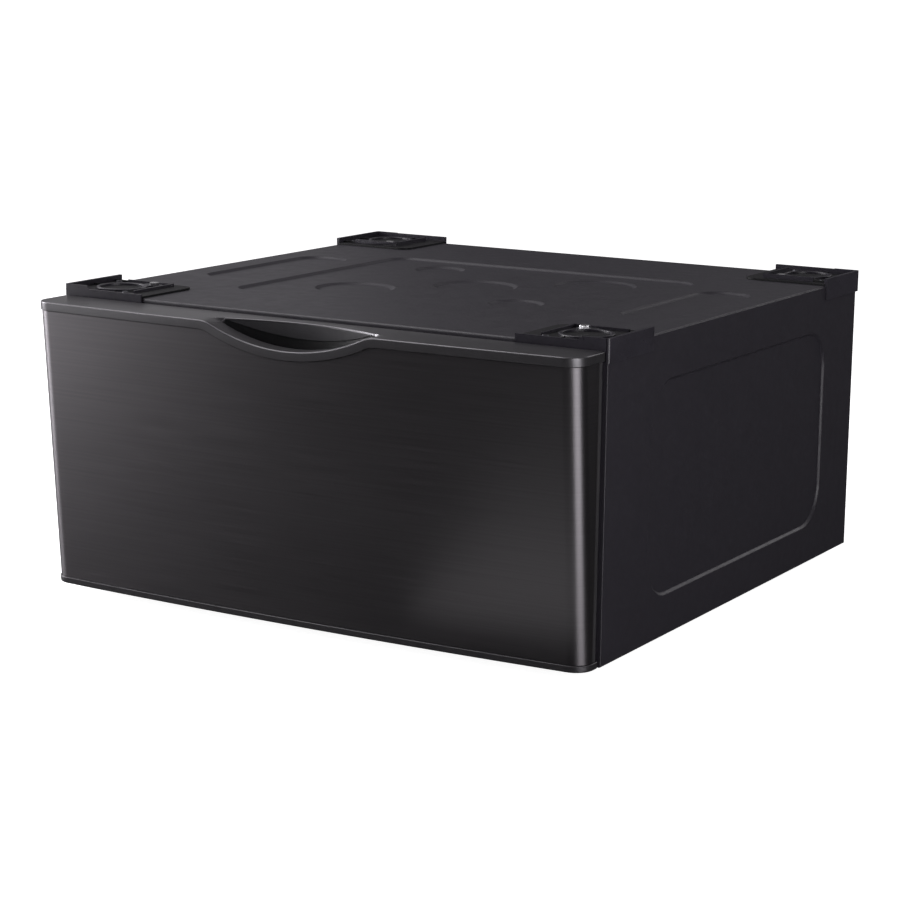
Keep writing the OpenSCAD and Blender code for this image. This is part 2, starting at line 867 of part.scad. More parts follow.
// Rubber buffers that meet the cabinet's front flanges
module front_bumpers() {
  color([0.05, 0.05, 0.05])
    for (x = [-front_half_w + 12, front_half_w - 12])
      for (z = [60, 270])
        translate([x, front_back_y, z])
          rotate([-90, 0, 0])
            cylinder(r1 = 6, r2 = 5, h = -front_back_y - clear, $fn = 48);
}

// ---- drawer box ----

module drawer_floor() {
  half = box_half_w - wall_t;
  z = box_floor_z + wall_t;
  color([0.62, 0.63, 0.65])
    difference() {
      union() {
        span([-half, front_back_y + wall_t, z], [half, box_rear_y - wall_t, z + wall_t]);
        floor_ribs(rib_half_w, z + wall_t, rib_h);
      }
      floor_ribs(rib_half_w - wall_t, z - eps, rib_h + eps);
    }
}

// Stiffening ribs pressed up along the drawer floor
module floor_ribs(half, z, h) {
  for (x = [-200, 0, 200])
    translate([x, 0, z])
      linear_extrude(h)
        rounded_rect([-half, front_back_y + 60 - half], [half, box_rear_y - 60 + half], half - 0.01);
}

// The right-hand wall of the drawer box; the left one is its mirror image
module drawer_side() {
  x = box_half_w;
  top = box_floor_z + box_h;
  color([0.62, 0.63, 0.65])
    difference() {
      union() {
        span([x - wall_t, front_back_y, box_floor_z], [x, box_rear_y, top]);
        span([x - 14, front_back_y, box_floor_z], [x, box_rear_y, box_floor_z + wall_t]);
        span([x - 16, front_back_y, box_floor_z], [x, front_back_y + wall_t, top]);
        span([x - hem, front_back_y, top - wall_t], [x, box_rear_y, top]);
        span([x - hem, front_back_y, top - 10], [x - hem + wall_t, box_rear_y, top]);
      }
      for (p = front_screw_spots())
        translate([p[0], front_back_y - 1, p[1]]) rotate([-90, 0, 0]) tube_z(screw_hole_r, 8);
      for (y = screw_y)
        translate([x - 4, slide_y + y + inner_screw_shift, slide_z])
          rotate([0, 90, 0]) tube_z(screw_hole_r, 8);
    }
}

module drawer_back() {
  half = box_half_w - wall_t;
  top = box_floor_z + box_back_h;
  color([0.62, 0.63, 0.65]) {
    span([-half, box_rear_y - wall_t, box_floor_z + wall_t], [half, box_rear_y, top]);
    span([-half, box_rear_y - hem, top - wall_t], [half, box_rear_y, top]);
  }
}

in_frame() top_panel();
in_frame() mirror([1, 0, 0]) side_panel();  // left_side_panel
in_frame() side_panel();  // right_side_panel
in_frame() rear_panel();
in_frame() front_top_rail();
in_frame() front_bottom_rail();
in_frame() rear_bottom_rail();
in_frame() mirror([1, 0, 0]) base_rail();  // left_base_rail
in_frame() base_rail();  // right_base_rail
in_frame() leg_brackets();
in_frame() leg_weld_nuts();
in_frame() leg_lock_nuts();
in_frame() mirror([1, 0, 0]) slide_carrier();  // left_slide_carrier
in_frame() slide_carrier();  // right_slide_carrier
in_frame() on_left() outer_slide();  // left_outer_slide
in_frame() on_right() outer_slide();  // right_outer_slide
in_frame() outer_slide_screws();
in_frame() at_corner(0, 0) front_cap();  // front_left_cap
in_frame() at_corner(0, 1) front_cap();  // front_right_cap
in_frame() at_corner(1, 0) rear_cap();  // rear_left_cap
in_frame() at_corner(1, 1) rear_cap();  // rear_right_cap
in_frame() cap_clamps();
in_frame() cap_bolts();
in_frame() cap_weld_nuts();
in_frame() cap_screws();
in_frame() rear_panel_screws();
in_frame() front_skin();
in_frame() front_inner_panel();
in_frame() front_top_trim();
in_frame() front_bottom_trim();
in_frame() handle_pocket();
in_frame() front_stiffeners();
in_frame() drawer_floor();
in_frame() mirror([1, 0, 0]) drawer_side();  // drawer_left_side
in_frame() drawer_side();  // drawer_right_side
in_frame() drawer_back();
in_frame() on_left() inner_slide();  // left_inner_slide
in_frame() on_right() inner_slide();  // right_inner_slide
in_frame() inner_slide_screws();
in_frame() front_panel_screws();
in_frame() front_bumpers();
in_frame() on_left() middle_slide();  // left_middle_slide
in_frame() on_right() middle_slide();  // right_middle_slide
in_frame() on_left() outer_ball_cage();  // left_outer_ball_cage
in_frame() on_left() outer_balls();  // left_outer_balls
in_frame() on_left() inner_ball_cage();  // left_inner_ball_cage
in_frame() on_left() inner_balls();  // left_inner_balls
in_frame() on_right() outer_ball_cage();  // right_outer_ball_cage
in_frame() on_right() outer_balls();  // right_outer_balls
in_frame() on_right() inner_ball_cage();  // right_inner_ball_cage
in_frame() on_right() inner_balls();  // right_inner_balls
in_frame() translate([-leg_x, leg_front_y, 0]) leg_stud();  // front_left_leg
in_frame() translate([leg_x, leg_front_y, 0]) leg_stud();  // front_right_leg
in_frame() translate([-leg_x, leg_rear_y, 0]) leg_stud();  // rear_left_leg
in_frame() translate([leg_x, leg_rear_y, 0]) leg_stud();  // rear_right_leg
in_frame() translate([-leg_x, leg_front_y, 0]) foot_pad();  // front_left_foot_pad
in_frame() translate([leg_x, leg_front_y, 0]) foot_pad();  // front_right_foot_pad
in_frame() translate([-leg_x, leg_rear_y, 0]) foot_pad();  // rear_left_foot_pad
in_frame() translate([leg_x, leg_rear_y, 0]) foot_pad();  // rear_right_foot_pad
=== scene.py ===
"""Looks of the laundry pedestal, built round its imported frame. Lengths are in metres, in the row frame."""
import json
import math

import bmesh
import bpy
from mathutils import Matrix, Vector, geometry


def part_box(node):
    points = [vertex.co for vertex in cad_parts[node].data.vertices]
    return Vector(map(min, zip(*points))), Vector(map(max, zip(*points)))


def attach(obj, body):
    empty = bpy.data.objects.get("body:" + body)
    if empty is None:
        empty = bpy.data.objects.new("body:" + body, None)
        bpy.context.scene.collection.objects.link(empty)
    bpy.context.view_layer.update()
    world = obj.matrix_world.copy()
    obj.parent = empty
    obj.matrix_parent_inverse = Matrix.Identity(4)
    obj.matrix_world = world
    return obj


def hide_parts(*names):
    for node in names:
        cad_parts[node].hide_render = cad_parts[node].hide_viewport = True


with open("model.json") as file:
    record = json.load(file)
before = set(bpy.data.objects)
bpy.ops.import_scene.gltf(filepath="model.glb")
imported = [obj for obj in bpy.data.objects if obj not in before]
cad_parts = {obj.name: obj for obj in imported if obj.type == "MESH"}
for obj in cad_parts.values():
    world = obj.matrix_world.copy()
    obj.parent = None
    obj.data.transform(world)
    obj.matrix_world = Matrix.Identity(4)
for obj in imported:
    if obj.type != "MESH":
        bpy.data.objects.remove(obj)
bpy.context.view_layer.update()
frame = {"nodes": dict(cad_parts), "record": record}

MM = 0.001

# ---- places and sizes from the frame ----

SIDE_LO, SIDE_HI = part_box("right_side_panel")
TOP_LO, TOP_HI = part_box("top_panel")
SKIN_LO, SKIN_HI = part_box("front_skin")
TRIM_LO, TRIM_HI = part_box("front_top_trim")
FOOT_LO, FOOT_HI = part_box("front_bottom_trim")
HALF_W = SIDE_HI.x
FRONT_Y = SIDE_LO.y
REAR_Y = SIDE_HI.y
BASE_Z = SIDE_LO.z
TOP_Z = TOP_HI.z


def cab(x, y, z):
    """A point in cabinet millimetres, from the middle, the front plane and the side panels' lower edge."""
    return Vector((x * MM, FRONT_Y + y * MM, BASE_Z + z * MM))


# ---- shader graphs ----

# The mix node's colour sockets, by place, because its sockets of other kinds have the same names.
MIX_DARK, MIX_LIGHT, MIX_COLOUR = 6, 7, 2


class Graph:
    """A material's node graph, built from its Principled shader outwards."""

    def __init__(self, name):
        self.material = bpy.data.materials.new(name)
        self.material.use_nodes = True
        self.tree = self.material.node_tree
        self.shader = self.tree.nodes["Principled BSDF"]
        self.where = self.add("ShaderNodeTexCoord").outputs["Object"]

    def add(self, kind, **inputs):
        node = self.tree.nodes.new(kind)
        for key, value in inputs.items():
            socket = node.inputs[key.replace("_", " ")]
            self.feed(value, socket)
        return node

    def feed(self, value, socket):
        if isinstance(value, bpy.types.NodeSocket):
            self.tree.links.new(value, socket)
        else:
            socket.default_value = value

    def stretch(self, vector, scale):
        node = self.tree.nodes.new("ShaderNodeMapping")
        node.inputs["Scale"].default_value = scale
        self.tree.links.new(vector, node.inputs["Vector"])
        return node.outputs["Vector"]

    def noise(self, scale, detail=4.0, roughness=0.55, stretch=(1, 1, 1), vector=None):
        """Noise of about the given number of cells a metre, stretched along some axes."""
        node = self.tree.nodes.new("ShaderNodeTexNoise")
        node.inputs["Scale"].default_value = scale
        node.inputs["Detail"].default_value = detail
        node.inputs["Roughness"].default_value = roughness
        self.tree.links.new(self.stretch(vector or self.where, stretch), node.inputs["Vector"])
        return node.outputs["Fac"]

    def remap(self, value, low, high, from_low=0.3, from_high=0.7):
        node = self.tree.nodes.new("ShaderNodeMapRange")
        self.tree.links.new(value, node.inputs["Value"])
        node.inputs["From Min"].default_value = from_low
        node.inputs["From Max"].default_value = from_high
        node.inputs["To Min"].default_value = low
        node.inputs["To Max"].default_value = high
        return node.outputs["Result"]

    def blend(self, factor, dark, light):
        node = self.tree.nodes.new("ShaderNodeMix")
        node.data_type = "RGBA"
        self.tree.links.new(factor, node.inputs["Factor"])
        for socket, colour in ((node.inputs[MIX_DARK], dark), (node.inputs[MIX_LIGHT], light)):
            if isinstance(colour, bpy.types.NodeSocket):
                self.tree.links.new(colour, socket)
            else:
                socket.default_value = (*colour, 1)
        return node.outputs[MIX_COLOUR]

    def bump(self, height, distance, strength=1.0, normal=None):
        node = self.tree.nodes.new("ShaderNodeBump")
        node.inputs["Strength"].default_value = strength
        node.inputs["Distance"].default_value = distance
        self.tree.links.new(height, node.inputs["Height"])
        if normal is not None:
            self.tree.links.new(normal, node.inputs["Normal"])
        return node.outputs["Normal"]

    def set(self, **inputs):
        for key, value in inputs.items():
            self.feed(value, self.shader.inputs[key.replace("_", " ")])
        return self


def shade(colour, factor):
    """A colour made darker or lighter by a factor."""
    return tuple(c * factor for c in colour)


def paint(name, colour, roughness, peel=0.00006, mottle=0.12):
    """Powder coat: a fine orange-peel bump, with slightly uneven colour and gloss."""
    g = Graph(name)
    tone = g.remap(g.noise(9, 3), 0, 1)
    peel_fine = g.noise(1400, 2, 0.5)
    peel_coarse = g.noise(420, 2, 0.5)
    normal = g.bump(peel_coarse, peel, 0.5)
    g.set(
        Base_Color=g.blend(tone, shade(colour, 1 - mottle), shade(colour, 1 + mottle)),
        Roughness=g.remap(g.noise(60, 4), roughness - 0.04, roughness + 0.05),
        Normal=g.bump(peel_fine, peel, 0.35, normal),
    )
    return g.material


def moulded(name, colour, roughness, grain=0.00008, specular=0.5):
    """Moulded plastic with a spark-eroded surface texture."""
    g = Graph(name)
    tone = g.remap(g.noise(25, 3), 0, 1)
    texture = g.noise(1800, 3, 0.6)
    g.set(
        Base_Color=g.blend(tone, shade(colour, 0.85), shade(colour, 1.15)),
        Roughness=g.remap(g.noise(240, 3), roughness - 0.05, roughness + 0.06),
        Normal=g.bump(texture, grain, 0.6),
        Specular_IOR_Level=specular,
    )
    return g.material


def satin(name, colour, roughness):
    """Metallic lacquer over plastic: fine flakes and a faint orange peel."""
    g = Graph(name)
    flake = g.noise(2600, 2, 0.7)
    cloud = g.remap(g.noise(30, 3), 0, 1)
    g.set(
        Base_Color=g.blend(cloud, shade(colour, 0.94), shade(colour, 1.06)),
        Metallic=0.9,
        Roughness=g.remap(flake, roughness - 0.04, roughness + 0.04),
        Normal=g.bump(g.noise(700, 2, 0.5), 0.00001, 0.3),
        Coat_Weight=0.3,
        Coat_Roughness=0.2,
    )
    return g.material


def metal(name, colour, roughness, stretch=(1, 1, 1), streak=0.00002, uneven=0.06):
    """Plain or plated metal, with streaks along one axis where it was rolled or drawn."""
    g = Graph(name)
    grain = g.noise(900, 5, 0.6, stretch)
    cloud = g.noise(35, 3)
    g.set(
        Base_Color=g.blend(g.remap(cloud, 0, 1), shade(colour, 0.9), shade(colour, 1.05)),
        Metallic=1.0,
        Roughness=g.remap(grain, roughness - uneven, roughness + uneven),
        Normal=g.bump(grain, streak, 0.5),
    )
    return g.material


def galvanised(name):
    """Zinc-coated sheet with its crystal spangle."""
    g = Graph(name)
    cell = g.tree.nodes.new("ShaderNodeTexVoronoi")
    cell.inputs["Scale"].default_value = 130
    g.tree.links.new(g.where, cell.inputs["Vector"])
    split = g.tree.nodes.new("ShaderNodeSeparateColor")
    g.tree.links.new(cell.outputs["Color"], split.inputs["Color"])
    spangle = split.outputs["Red"]
    g.set(
        Base_Color=g.blend(spangle, (0.42, 0.43, 0.45), (0.60, 0.61, 0.63)),
        Metallic=0.9,
        Roughness=g.remap(spangle, 0.34, 0.52, 0, 1),
        Normal=g.bump(spangle, 0.00003, 0.3),
    )
    return g.material


def brushed(name, colour, roughness, anisotropy):
    """Tinted stainless sheet with a fine horizontal grain; the grain runs along the map's first axis."""
    g = Graph(name)
    along = g.tree.nodes.new("ShaderNodeUVMap")
    along.uv_map = "grain"
    where = along.outputs["UV"]
    hair = g.noise(1.0, 4, 0.65, (9, 1500, 1), where)
    line = g.noise(1.0, 3, 0.6, (3, 420, 1), where)
    cloud = g.noise(1.0, 2, 0.5, (2.5, 5, 1), where)
    tone = g.blend(g.remap(line, 0, 1), shade(colour, 0.94), shade(colour, 1.06))
    tangent = g.tree.nodes.new("ShaderNodeTangent")
    tangent.direction_type = "UV_MAP"
    tangent.uv_map = "grain"
    rough = g.tree.nodes.new("ShaderNodeMath")
    rough.operation = "ADD"
    g.tree.links.new(g.remap(hair, -0.05, 0.05), rough.inputs[0])
    g.tree.links.new(g.remap(cloud, roughness - 0.015, roughness + 0.015), rough.inputs[1])
    g.set(
        Base_Color=tone,
        Metallic=1.0,
        Roughness=rough.outputs[0],
        Anisotropic=anisotropy,
        Anisotropic_Rotation=0.25,
        Tangent=tangent.outputs["Tangent"],
        Normal=g.bump(hair, 0.000010, 0.5, g.bump(line, 0.000012, 0.3)),
    )
    return g.material


CABINET_PAINT = paint("cabinet_paint", (0.023, 0.021, 0.027), 0.44, 0.00002, 0.03)
GALVANISED = galvanised("galvanised_steel")
SLIDE_STEEL = metal("slide_steel", (0.62, 0.63, 0.65), 0.30, (1, 0.02, 1))
CAGE_BRASS = metal("cage_brass", (0.62, 0.50, 0.26), 0.34, (1, 0.05, 1))
BALL_STEEL = metal("ball_steel", (0.75, 0.75, 0.77), 0.10, uneven=0.03)
ZINC = metal("zinc_plate", (0.70, 0.70, 0.71), 0.28)
CLAMP_STEEL = metal("clamp_steel", (0.10, 0.10, 0.11), 0.38)
CAP_PLASTIC = moulded("cap_plastic", (0.026, 0.024, 0.031), 0.32, 0.00003)
# The caps' floor: near black and dull, as painted shade that stands in for a deep tray in shadow.
CAP_FLOOR_PAINTED_SHADE = moulded("cap_floor_painted_shade", (0.006, 0.006, 0.007), 0.6, 0.00006, 0.25)
BLACK_STAINLESS = brushed("black_stainless", (0.151, 0.144, 0.151), 0.40, 0.5)
INNER_PAINT = paint("inner_panel_paint", (0.035, 0.034, 0.036), 0.45)
TRIM_PLASTIC = satin("trim_plastic", (0.118, 0.115, 0.121), 0.40)
SKIRT_PLASTIC = moulded("skirt_plastic", (0.036, 0.035, 0.038), 0.6, 0.00004, 0.3)
POCKET_PLASTIC = moulded("pocket_plastic", (0.008, 0.008, 0.009), 0.5)
DRAWER_PAINT = paint("drawer_paint", (0.42, 0.43, 0.45), 0.42)
RUBBER = moulded("rubber", (0.012, 0.012, 0.012), 0.75, 0.0001, 0.3)

SLOTS = {
    "cabinet_paint": CABINET_PAINT,
    "galvanised_steel": GALVANISED,
    "slide_steel": SLIDE_STEEL,
    "cage_brass": CAGE_BRASS,
    "ball_steel": BALL_STEEL,
    "zinc_plate": ZINC,
    "clamp_steel": CLAMP_STEEL,
    "cap_plastic": CAP_PLASTIC,
    "black_stainless": BLACK_STAINLESS,
    "inner_panel_paint": INNER_PAINT,
    "trim_plastic": TRIM_PLASTIC,
    "pocket_plastic": POCKET_PLASTIC,
    "drawer_paint": DRAWER_PAINT,
    "rubber": RUBBER,
}
NODE_SLOT = {row["node"]: row["material_slot"] for row in frame["record"]["subparts"]}

for node_name, node in frame["nodes"].items():
    node.data.materials.clear()
    node.data.materials.append(SLOTS[NODE_SLOT[node_name]])

# ---- mesh tools ----


def piece(bm, name, material, body, nodes=(), angle=35, sheet=0.0, bevel=0.0, segments=3):
    """Turns a bmesh into a shown piece: sheet thickness and edge rounding first, then clean normals."""
    bmesh.ops.remove_doubles(bm, verts=bm.verts, dist=1e-6)
    mesh = bpy.data.meshes.new(name)
    bm.to_mesh(mesh)
    bm.free()
    obj = bpy.data.objects.new(name, mesh)
    bpy.context.scene.collection.objects.link(obj)
    if sheet:
        solid = obj.modifiers.new("sheet", "SOLIDIFY")
        solid.thickness = sheet
        solid.offset = -1
    if bevel:
        add_bevel(obj, bevel, segments)
    if sheet or bevel:
        graph = bpy.context.evaluated_depsgraph_get()
        shaped = bpy.data.meshes.new_from_object(obj.evaluated_get(graph))
        obj.modifiers.clear()
        obj.data = shaped
        bpy.data.meshes.remove(mesh)
        shaped.name = name
    obj.data.polygons.foreach_set("use_smooth", [True] * len(obj.data.polygons))
    obj.data.set_sharp_from_angle(angle=math.radians(angle))
    obj.data.materials.clear()
    obj.data.materials.append(material)
    weighted = obj.modifiers.new("normals", "WEIGHTED_NORMAL")
    weighted.keep_sharp = True
    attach(obj, body)
    if nodes:
        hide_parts(*nodes)
    return obj


def add_bevel(obj, width, segments):
    bevel = obj.modifiers.new("edges", "BEVEL")
    bevel.width = width
    bevel.segments = segments
    bevel.limit_method = "ANGLE"
    bevel.angle_limit = math.radians(30)


def grid_faces(bm, rings, closed):
    """Joins rings of vertices with quads; each ring has the same number of vertices."""
    count = len(rings[0])
    last = count if closed else count - 1
    for low, high in zip(rings, rings[1:]):
        for i in range(last):
            j = (i + 1) % count
            bm.faces.new((low[i], low[j], high[j], high[i]))


def smooth_step(t):
    t = min(1.0, max(0.0, t))
    return t * t * (3 - 2 * t)


def rounded_loop(lo, hi, r, steps=12):
    """A rectangle with round corners, counter-clockwise."""
    points = []
    corners = ((hi[0] - r, hi[1] - r), (lo[0] + r, hi[1] - r), (lo[0] + r, lo[1] + r), (hi[0] - r, lo[1] + r))
    for turn, (cx, cy) in enumerate(corners):
        for k in range(steps + 1):
            a = math.pi / 2 * (turn + k / steps)
            points.append(Vector((cx + r * math.cos(a), cy + r * math.sin(a))))
    return points


class Press:
    """A shape pressed into a sheet: a rectangle with round corners, or a disc where r is half its size."""

    def __init__(self, lo, hi, r, depth, ramp, steps=12):
        self.lo, self.hi, self.r, self.depth, self.ramp, self.steps = lo, hi, r, depth, ramp, steps

    def loops(self):
        for share in PRESS_STEPS:
            grow = share * self.ramp
            lo = (self.lo[0] - grow, self.lo[1] - grow)
            hi = (self.hi[0] + grow, self.hi[1] + grow)
            yield rounded_loop(lo, hi, self.r + grow, self.steps)

    def height(self, u, v):
        qu = abs(u - (self.lo[0] + self.hi[0]) / 2) - (self.hi[0] - self.lo[0]) / 2 + self.r
        qv = abs(v - (self.lo[1] + self.hi[1]) / 2) - (self.hi[1] - self.lo[1]) / 2 + self.r
        outside = math.hypot(max(qu, 0), max(qv, 0)) + min(max(qu, qv), 0) - self.r
        return -self.depth * smooth_step(0.5 - outside / self.ramp)


def disc(x, y, r, depth, ramp):
    return Press((x - r, y - r), (x + r, y + r), r - 1e-5, depth, ramp, 14)


def roll(d, r):
    """How far a rounded edge of radius r has dropped at distance d from the sheet's end."""
    return 0.0 if d >= r else r - math.sqrt(max(0.0, r * r - (r - d) ** 2))


TRIANGLES_INSIDE = 1
FACES_WITHOUT_HOLES = 5


def filled(loops, lines=(), kind=TRIANGLES_INSIDE, gap=1e-7):
    """Faces inside the first loop, with every loop and line as edges; points closer than gap are joined."""
    points, edges = [], []
    for loop in loops:
        start = len(points)
        points += loop
        edges += [(start + i, start + (i + 1) % len(loop)) for i in range(len(loop))]
    for line in lines:
        start = len(points)
        points += line
        edges += [(start + i, start + i + 1) for i in range(len(line) - 1)]
    spots, _, faces, _, _, _ = geometry.delaunay_2d_cdt(points, edges, [], kind, gap)
    return spots, faces


NOTCH = 17 * MM  # how far from each corner of a sheet its folded flanges may start
NEAR = 1e-5
# Levels of a press's ramp, outwards from its middle, and of a rounded edge, both as shares of their width.
PRESS_STEPS = (0.5, 0.36, 0.22, 0.08, -0.08, -0.22, -0.36, -0.5)
ROLL_STEPS = (0.08, 0.3, 0.6, 1.0)


def pressed_sheet(lo, hi, presses, rolls, flange, origin, axes):
    """A sheet with pressed shapes, rounded edges and folded flanges.

    rolls are the edge radii at the low u, high u, low v and high v ends, and flange gives how deep
    the fold at a point of the edge reaches. axes are the directions of u, v and the outward side."""
    insets = sorted({0.0} | {r * share for r in rolls for share in ROLL_STEPS})
    loops = []
    for d in insets:
        across = (lo[0] + d, lo[0] + NOTCH, hi[0] - NOTCH, hi[0] - d)
        upward = (lo[1] + NOTCH, hi[1] - NOTCH)
        loops.append([Vector((u, lo[1] + d)) for u in across] + [Vector((hi[0] - d, v)) for v in upward]
                     + [Vector((u, hi[1] - d)) for u in reversed(across)]
                     + [Vector((lo[0] + d, v)) for v in reversed(upward)])
    for press in presses:
        loops += list(press.loops())
    points, faces = filled(loops)
    bm = bmesh.new()
    verts = []
    for p in points:
        h = sum(press.height(p.x, p.y) for press in presses)
        ends = (p.x - lo[0], hi[0] - p.x, p.y - lo[1], hi[1] - p.y)
        h -= max(roll(d, r) for d, r in zip(ends, rolls))
        verts.append(bm.verts.new((p.x, p.y, h)))
    for face in faces:
        bm.faces.new([verts[i] for i in face])
    border = [e for e in bm.edges if e.is_boundary]
    grown = bmesh.ops.extrude_edge_only(bm, edges=border)["geom"]
    for v in grown:
        if isinstance(v, bmesh.types.BMVert):
            v.co.z -= max(flange(v.co.x, v.co.y), NEAR)
    u_axis, v_axis, n_axis = axes
    for v in bm.verts:
        u, w, h = v.co
        v.co = origin + u * u_axis + w * v_axis + h * n_axis
    if u_axis.cross(v_axis).dot(n_axis) < 0:
        bmesh.ops.reverse_faces(bm, faces=bm.faces)
    return bm


X_AXIS = Vector((1, 0, 0))
Y_AXIS = Vector((0, 1, 0))
Z_AXIS = Vector((0, 0, 1))

# ---- cabinet panels ----

SHEET = 1 * MM
TOP_SHEET = 0.95 * MM
PRESS_RAMP = 6 * MM
SIDE_RAMP = 4 * MM
BEAD_RAMP = 7 * MM
PRESS_DEPTH = 3 * MM
DIMPLE_DEPTH = 2.5 * MM
DIMPLE_RAMP = 7 * MM
DIMPLES = ((-109, 235, 44), (-114, 433, 28), (-3, 330, 47), (107, 232, 29), (110, 415, 47))
BEAD_HEIGHTS = (95, 165, 235)


def build_top_panel():
    """The top: one large field, a pocket beside it at each end, and five round dimples."""
    lo = (TOP_LO.x, FRONT_Y + 0.2 * MM)
    hi = (TOP_HI.x, REAR_Y - 1 * MM)

    def rect(x0, y0, x1, y1, r):
        low = (x0 * MM, FRONT_Y + y0 * MM)
        return Press(low, (x1 * MM, FRONT_Y + y1 * MM), r * MM, PRESS_DEPTH, PRESS_RAMP)

    presses = [rect(-209, 129, 209, 491, 25), rect(244, 202, 307, 436, 26), rect(-307, 202, -244, 436, 26)]
    for x, y, r in DIMPLES:
        presses.append(disc(x * MM, FRONT_Y + y * MM, r * MM, DIMPLE_DEPTH, DIMPLE_RAMP))
    rolls = (1 * MM, 1 * MM, 3 * MM, 1 * MM)

    def flange(u, v):
        return 10 * MM if v < lo[1] + NEAR and abs(u) < HALF_W - 15 * MM else 0

    bm = pressed_sheet(lo, hi, presses, rolls, flange, Vector((0, 0, TOP_Z)), (X_AXIS, Y_AXIS, Z_AXIS))
    piece(bm, "top_sheet", CABINET_PAINT, "cabinet", ["top_panel"], sheet=TOP_SHEET)


def build_side_panel(side, name):
    """A side with its large rounded field."""
    lo, hi = (SIDE_LO.y, SIDE_LO.z), (SIDE_HI.y, SIDE_HI.z)
    field = Press((FRONT_Y + 102 * MM, BASE_Z + 46 * MM), (FRONT_Y + 560 * MM, BASE_Z + 277 * MM),
                  46 * MM, PRESS_DEPTH, SIDE_RAMP, 20)
    rolls = (1 * MM, 1.6 * MM, 1.6 * MM, 1.2 * MM)

    def flange(u, v):
        """Depth of the fold at the nearest end, by which end that is."""
        ends = ((u - lo[0], 20 * MM), (hi[0] - u, 12 * MM), (v - lo[1], 24 * MM), (hi[1] - v, 14 * MM))
        return min(ends)[1] - 2 * MM

    origin = Vector((side * HALF_W, 0, 0))
    bm = pressed_sheet(lo, hi, [field], rolls, flange, origin, (Y_AXIS, Z_AXIS, side * X_AXIS))
    piece(bm, name + "_sheet", CABINET_PAINT, "cabinet", [name], sheet=SHEET)


def build_rear_panel():
    """The rear panel with its three beads."""
    plane_y = REAR_Y - 1.3 * MM
    half = HALF_W - 3 * MM
    lo, hi = (BASE_Z + 1 * MM, -half), (SIDE_HI.z - 2 * MM, half)
    beads = []
    for z in BEAD_HEIGHTS:
        low, high = (BASE_Z + (z - 9) * MM, -259 * MM), (BASE_Z + (z + 9) * MM, 259 * MM)
        beads.append(Press(low, high, 8.99 * MM, PRESS_DEPTH, BEAD_RAMP))

    def flange(u, v):
        return 12 * MM if u > hi[0] - NEAR and abs(v) < HALF_W - 16 * MM else 0

    rolls = (0.6 * MM, 1.5 * MM, 0.6 * MM, 0.6 * MM)
    bm = pressed_sheet(lo, hi, beads, rolls, flange, Vector((0, plane_y, 0)), (Z_AXIS, X_AXIS, Y_AXIS))
    piece(bm, "rear_sheet", CABINET_PAINT, "cabinet", ["rear_panel"], sheet=SHEET)


# ---- drawer front ----

# Heights and reach of the front, its bow and its tilt; the plan outline is an arc with two rounded ends.
FACE_LOW = FOOT_LO.z
FACE_HIGH = TRIM_HI.z
TOP_REACH = 68 * MM
BOTTOM_REACH = 42 * MM
TILT = math.atan((TOP_REACH - BOTTOM_REACH) / (FACE_HIGH - FACE_LOW))
FACE_HALF = SKIN_HI.x
EDGE_R = 20 * MM
BOW = 8.5 * MM
BOW_HALF = 325 * MM
BOW_R = (BOW_HALF**2 + BOW**2) / (2 * BOW)
BOW_CENTRE = BOW_R - BOTTOM_REACH * math.cos(TILT)
EDGE_X = FACE_HALF - EDGE_R
EDGE_Y = BOW_CENTRE - math.sqrt((BOW_R - EDGE_R) ** 2 - EDGE_X**2)
EDGE_TURN = math.asin(EDGE_X / (BOW_R - EDGE_R))
# Trims: their heights, how far they stand proud of the skin, the lip's width and the seam to the skin.
TRIM_H = FACE_HIGH - SKIN_HI.z
FOOT_H = SKIN_LO.z - FACE_LOW
PROUD = 1.2 * MM
LIP = 3 * MM
SEAM = 0.5 * MM
DECK = 2.2 * MM
BACK_Y = FRONT_Y - 6 * MM
TRIM_ANGLE = 40
CUP_SHEET = 1.2 * MM
SKIN_SHEET = 0.8 * MM
SKIN_BACK_Y = FRONT_Y - 14 * MM
SKIN_ROWS = 10
# The dip: an arc hung between two shoulders, which join it at DIP_JOIN and the level edge at SHOULDER_X.
DIP = 24 * MM
DIP_R = 230 * MM
SHOULDER_R = 40 * MM
DIP_Z = FACE_HIGH - DIP + DIP_R
SHOULDER_X = math.sqrt((DIP_R + SHOULDER_R) ** 2 - (DIP_Z - FACE_HIGH + SHOULDER_R) ** 2)
DIP_JOIN = DIP_R * SHOULDER_X / (DIP_R + SHOULDER_R)
# The handle opening: its half width, the arc of its rear rim, the shelf's rear edge and the hanging skirt.
POCKET_HALF = 94 * MM
SHELF_BACK = 46 * MM
RIM_STEPS = 40
RIM_ROUND = 1.1 * MM
RIM_R = 266 * MM
RIM_Y = FRONT_Y - 24.3 * MM
SKIRT_T = 2 * MM
SKIRT_DROP = 17.6 * MM
SKIRT_R = 275 * MM


def front_stations():
    """Points and outward normals of the front's plan outline, from its left side round to its right side."""
    centre = [x * 5 * MM for x in range(-63, 64)]  # every 5 mm, but not beside the marks
    marks = [s * m for s in (-1, 1) for m in (POCKET_HALF, 98 * MM, 102 * MM, 106 * MM, SHOULDER_X, 113 * MM)]
    near = [x for x in centre if all(abs(x - m) > 1.6 * MM for m in marks)]
    stations = []
    for x in sorted(near + marks):
        turn = math.asin(x / BOW_R)
        n = Vector((math.sin(turn), -math.cos(turn)))
        stations.append((Vector((0, BOW_CENTRE)) + n * BOW_R, n))
    ends = []
    for k in range(17):
        turn = EDGE_TURN + (math.pi / 2 - EDGE_TURN) * k / 16
        n = Vector((math.sin(turn), -math.cos(turn)))
        ends.append((Vector((EDGE_X, EDGE_Y)) + n * EDGE_R, n))
    left = [(Vector((-p.x, p.y)), Vector((-n.x, n.y))) for p, n in reversed(ends)]
    return left + stations + ends


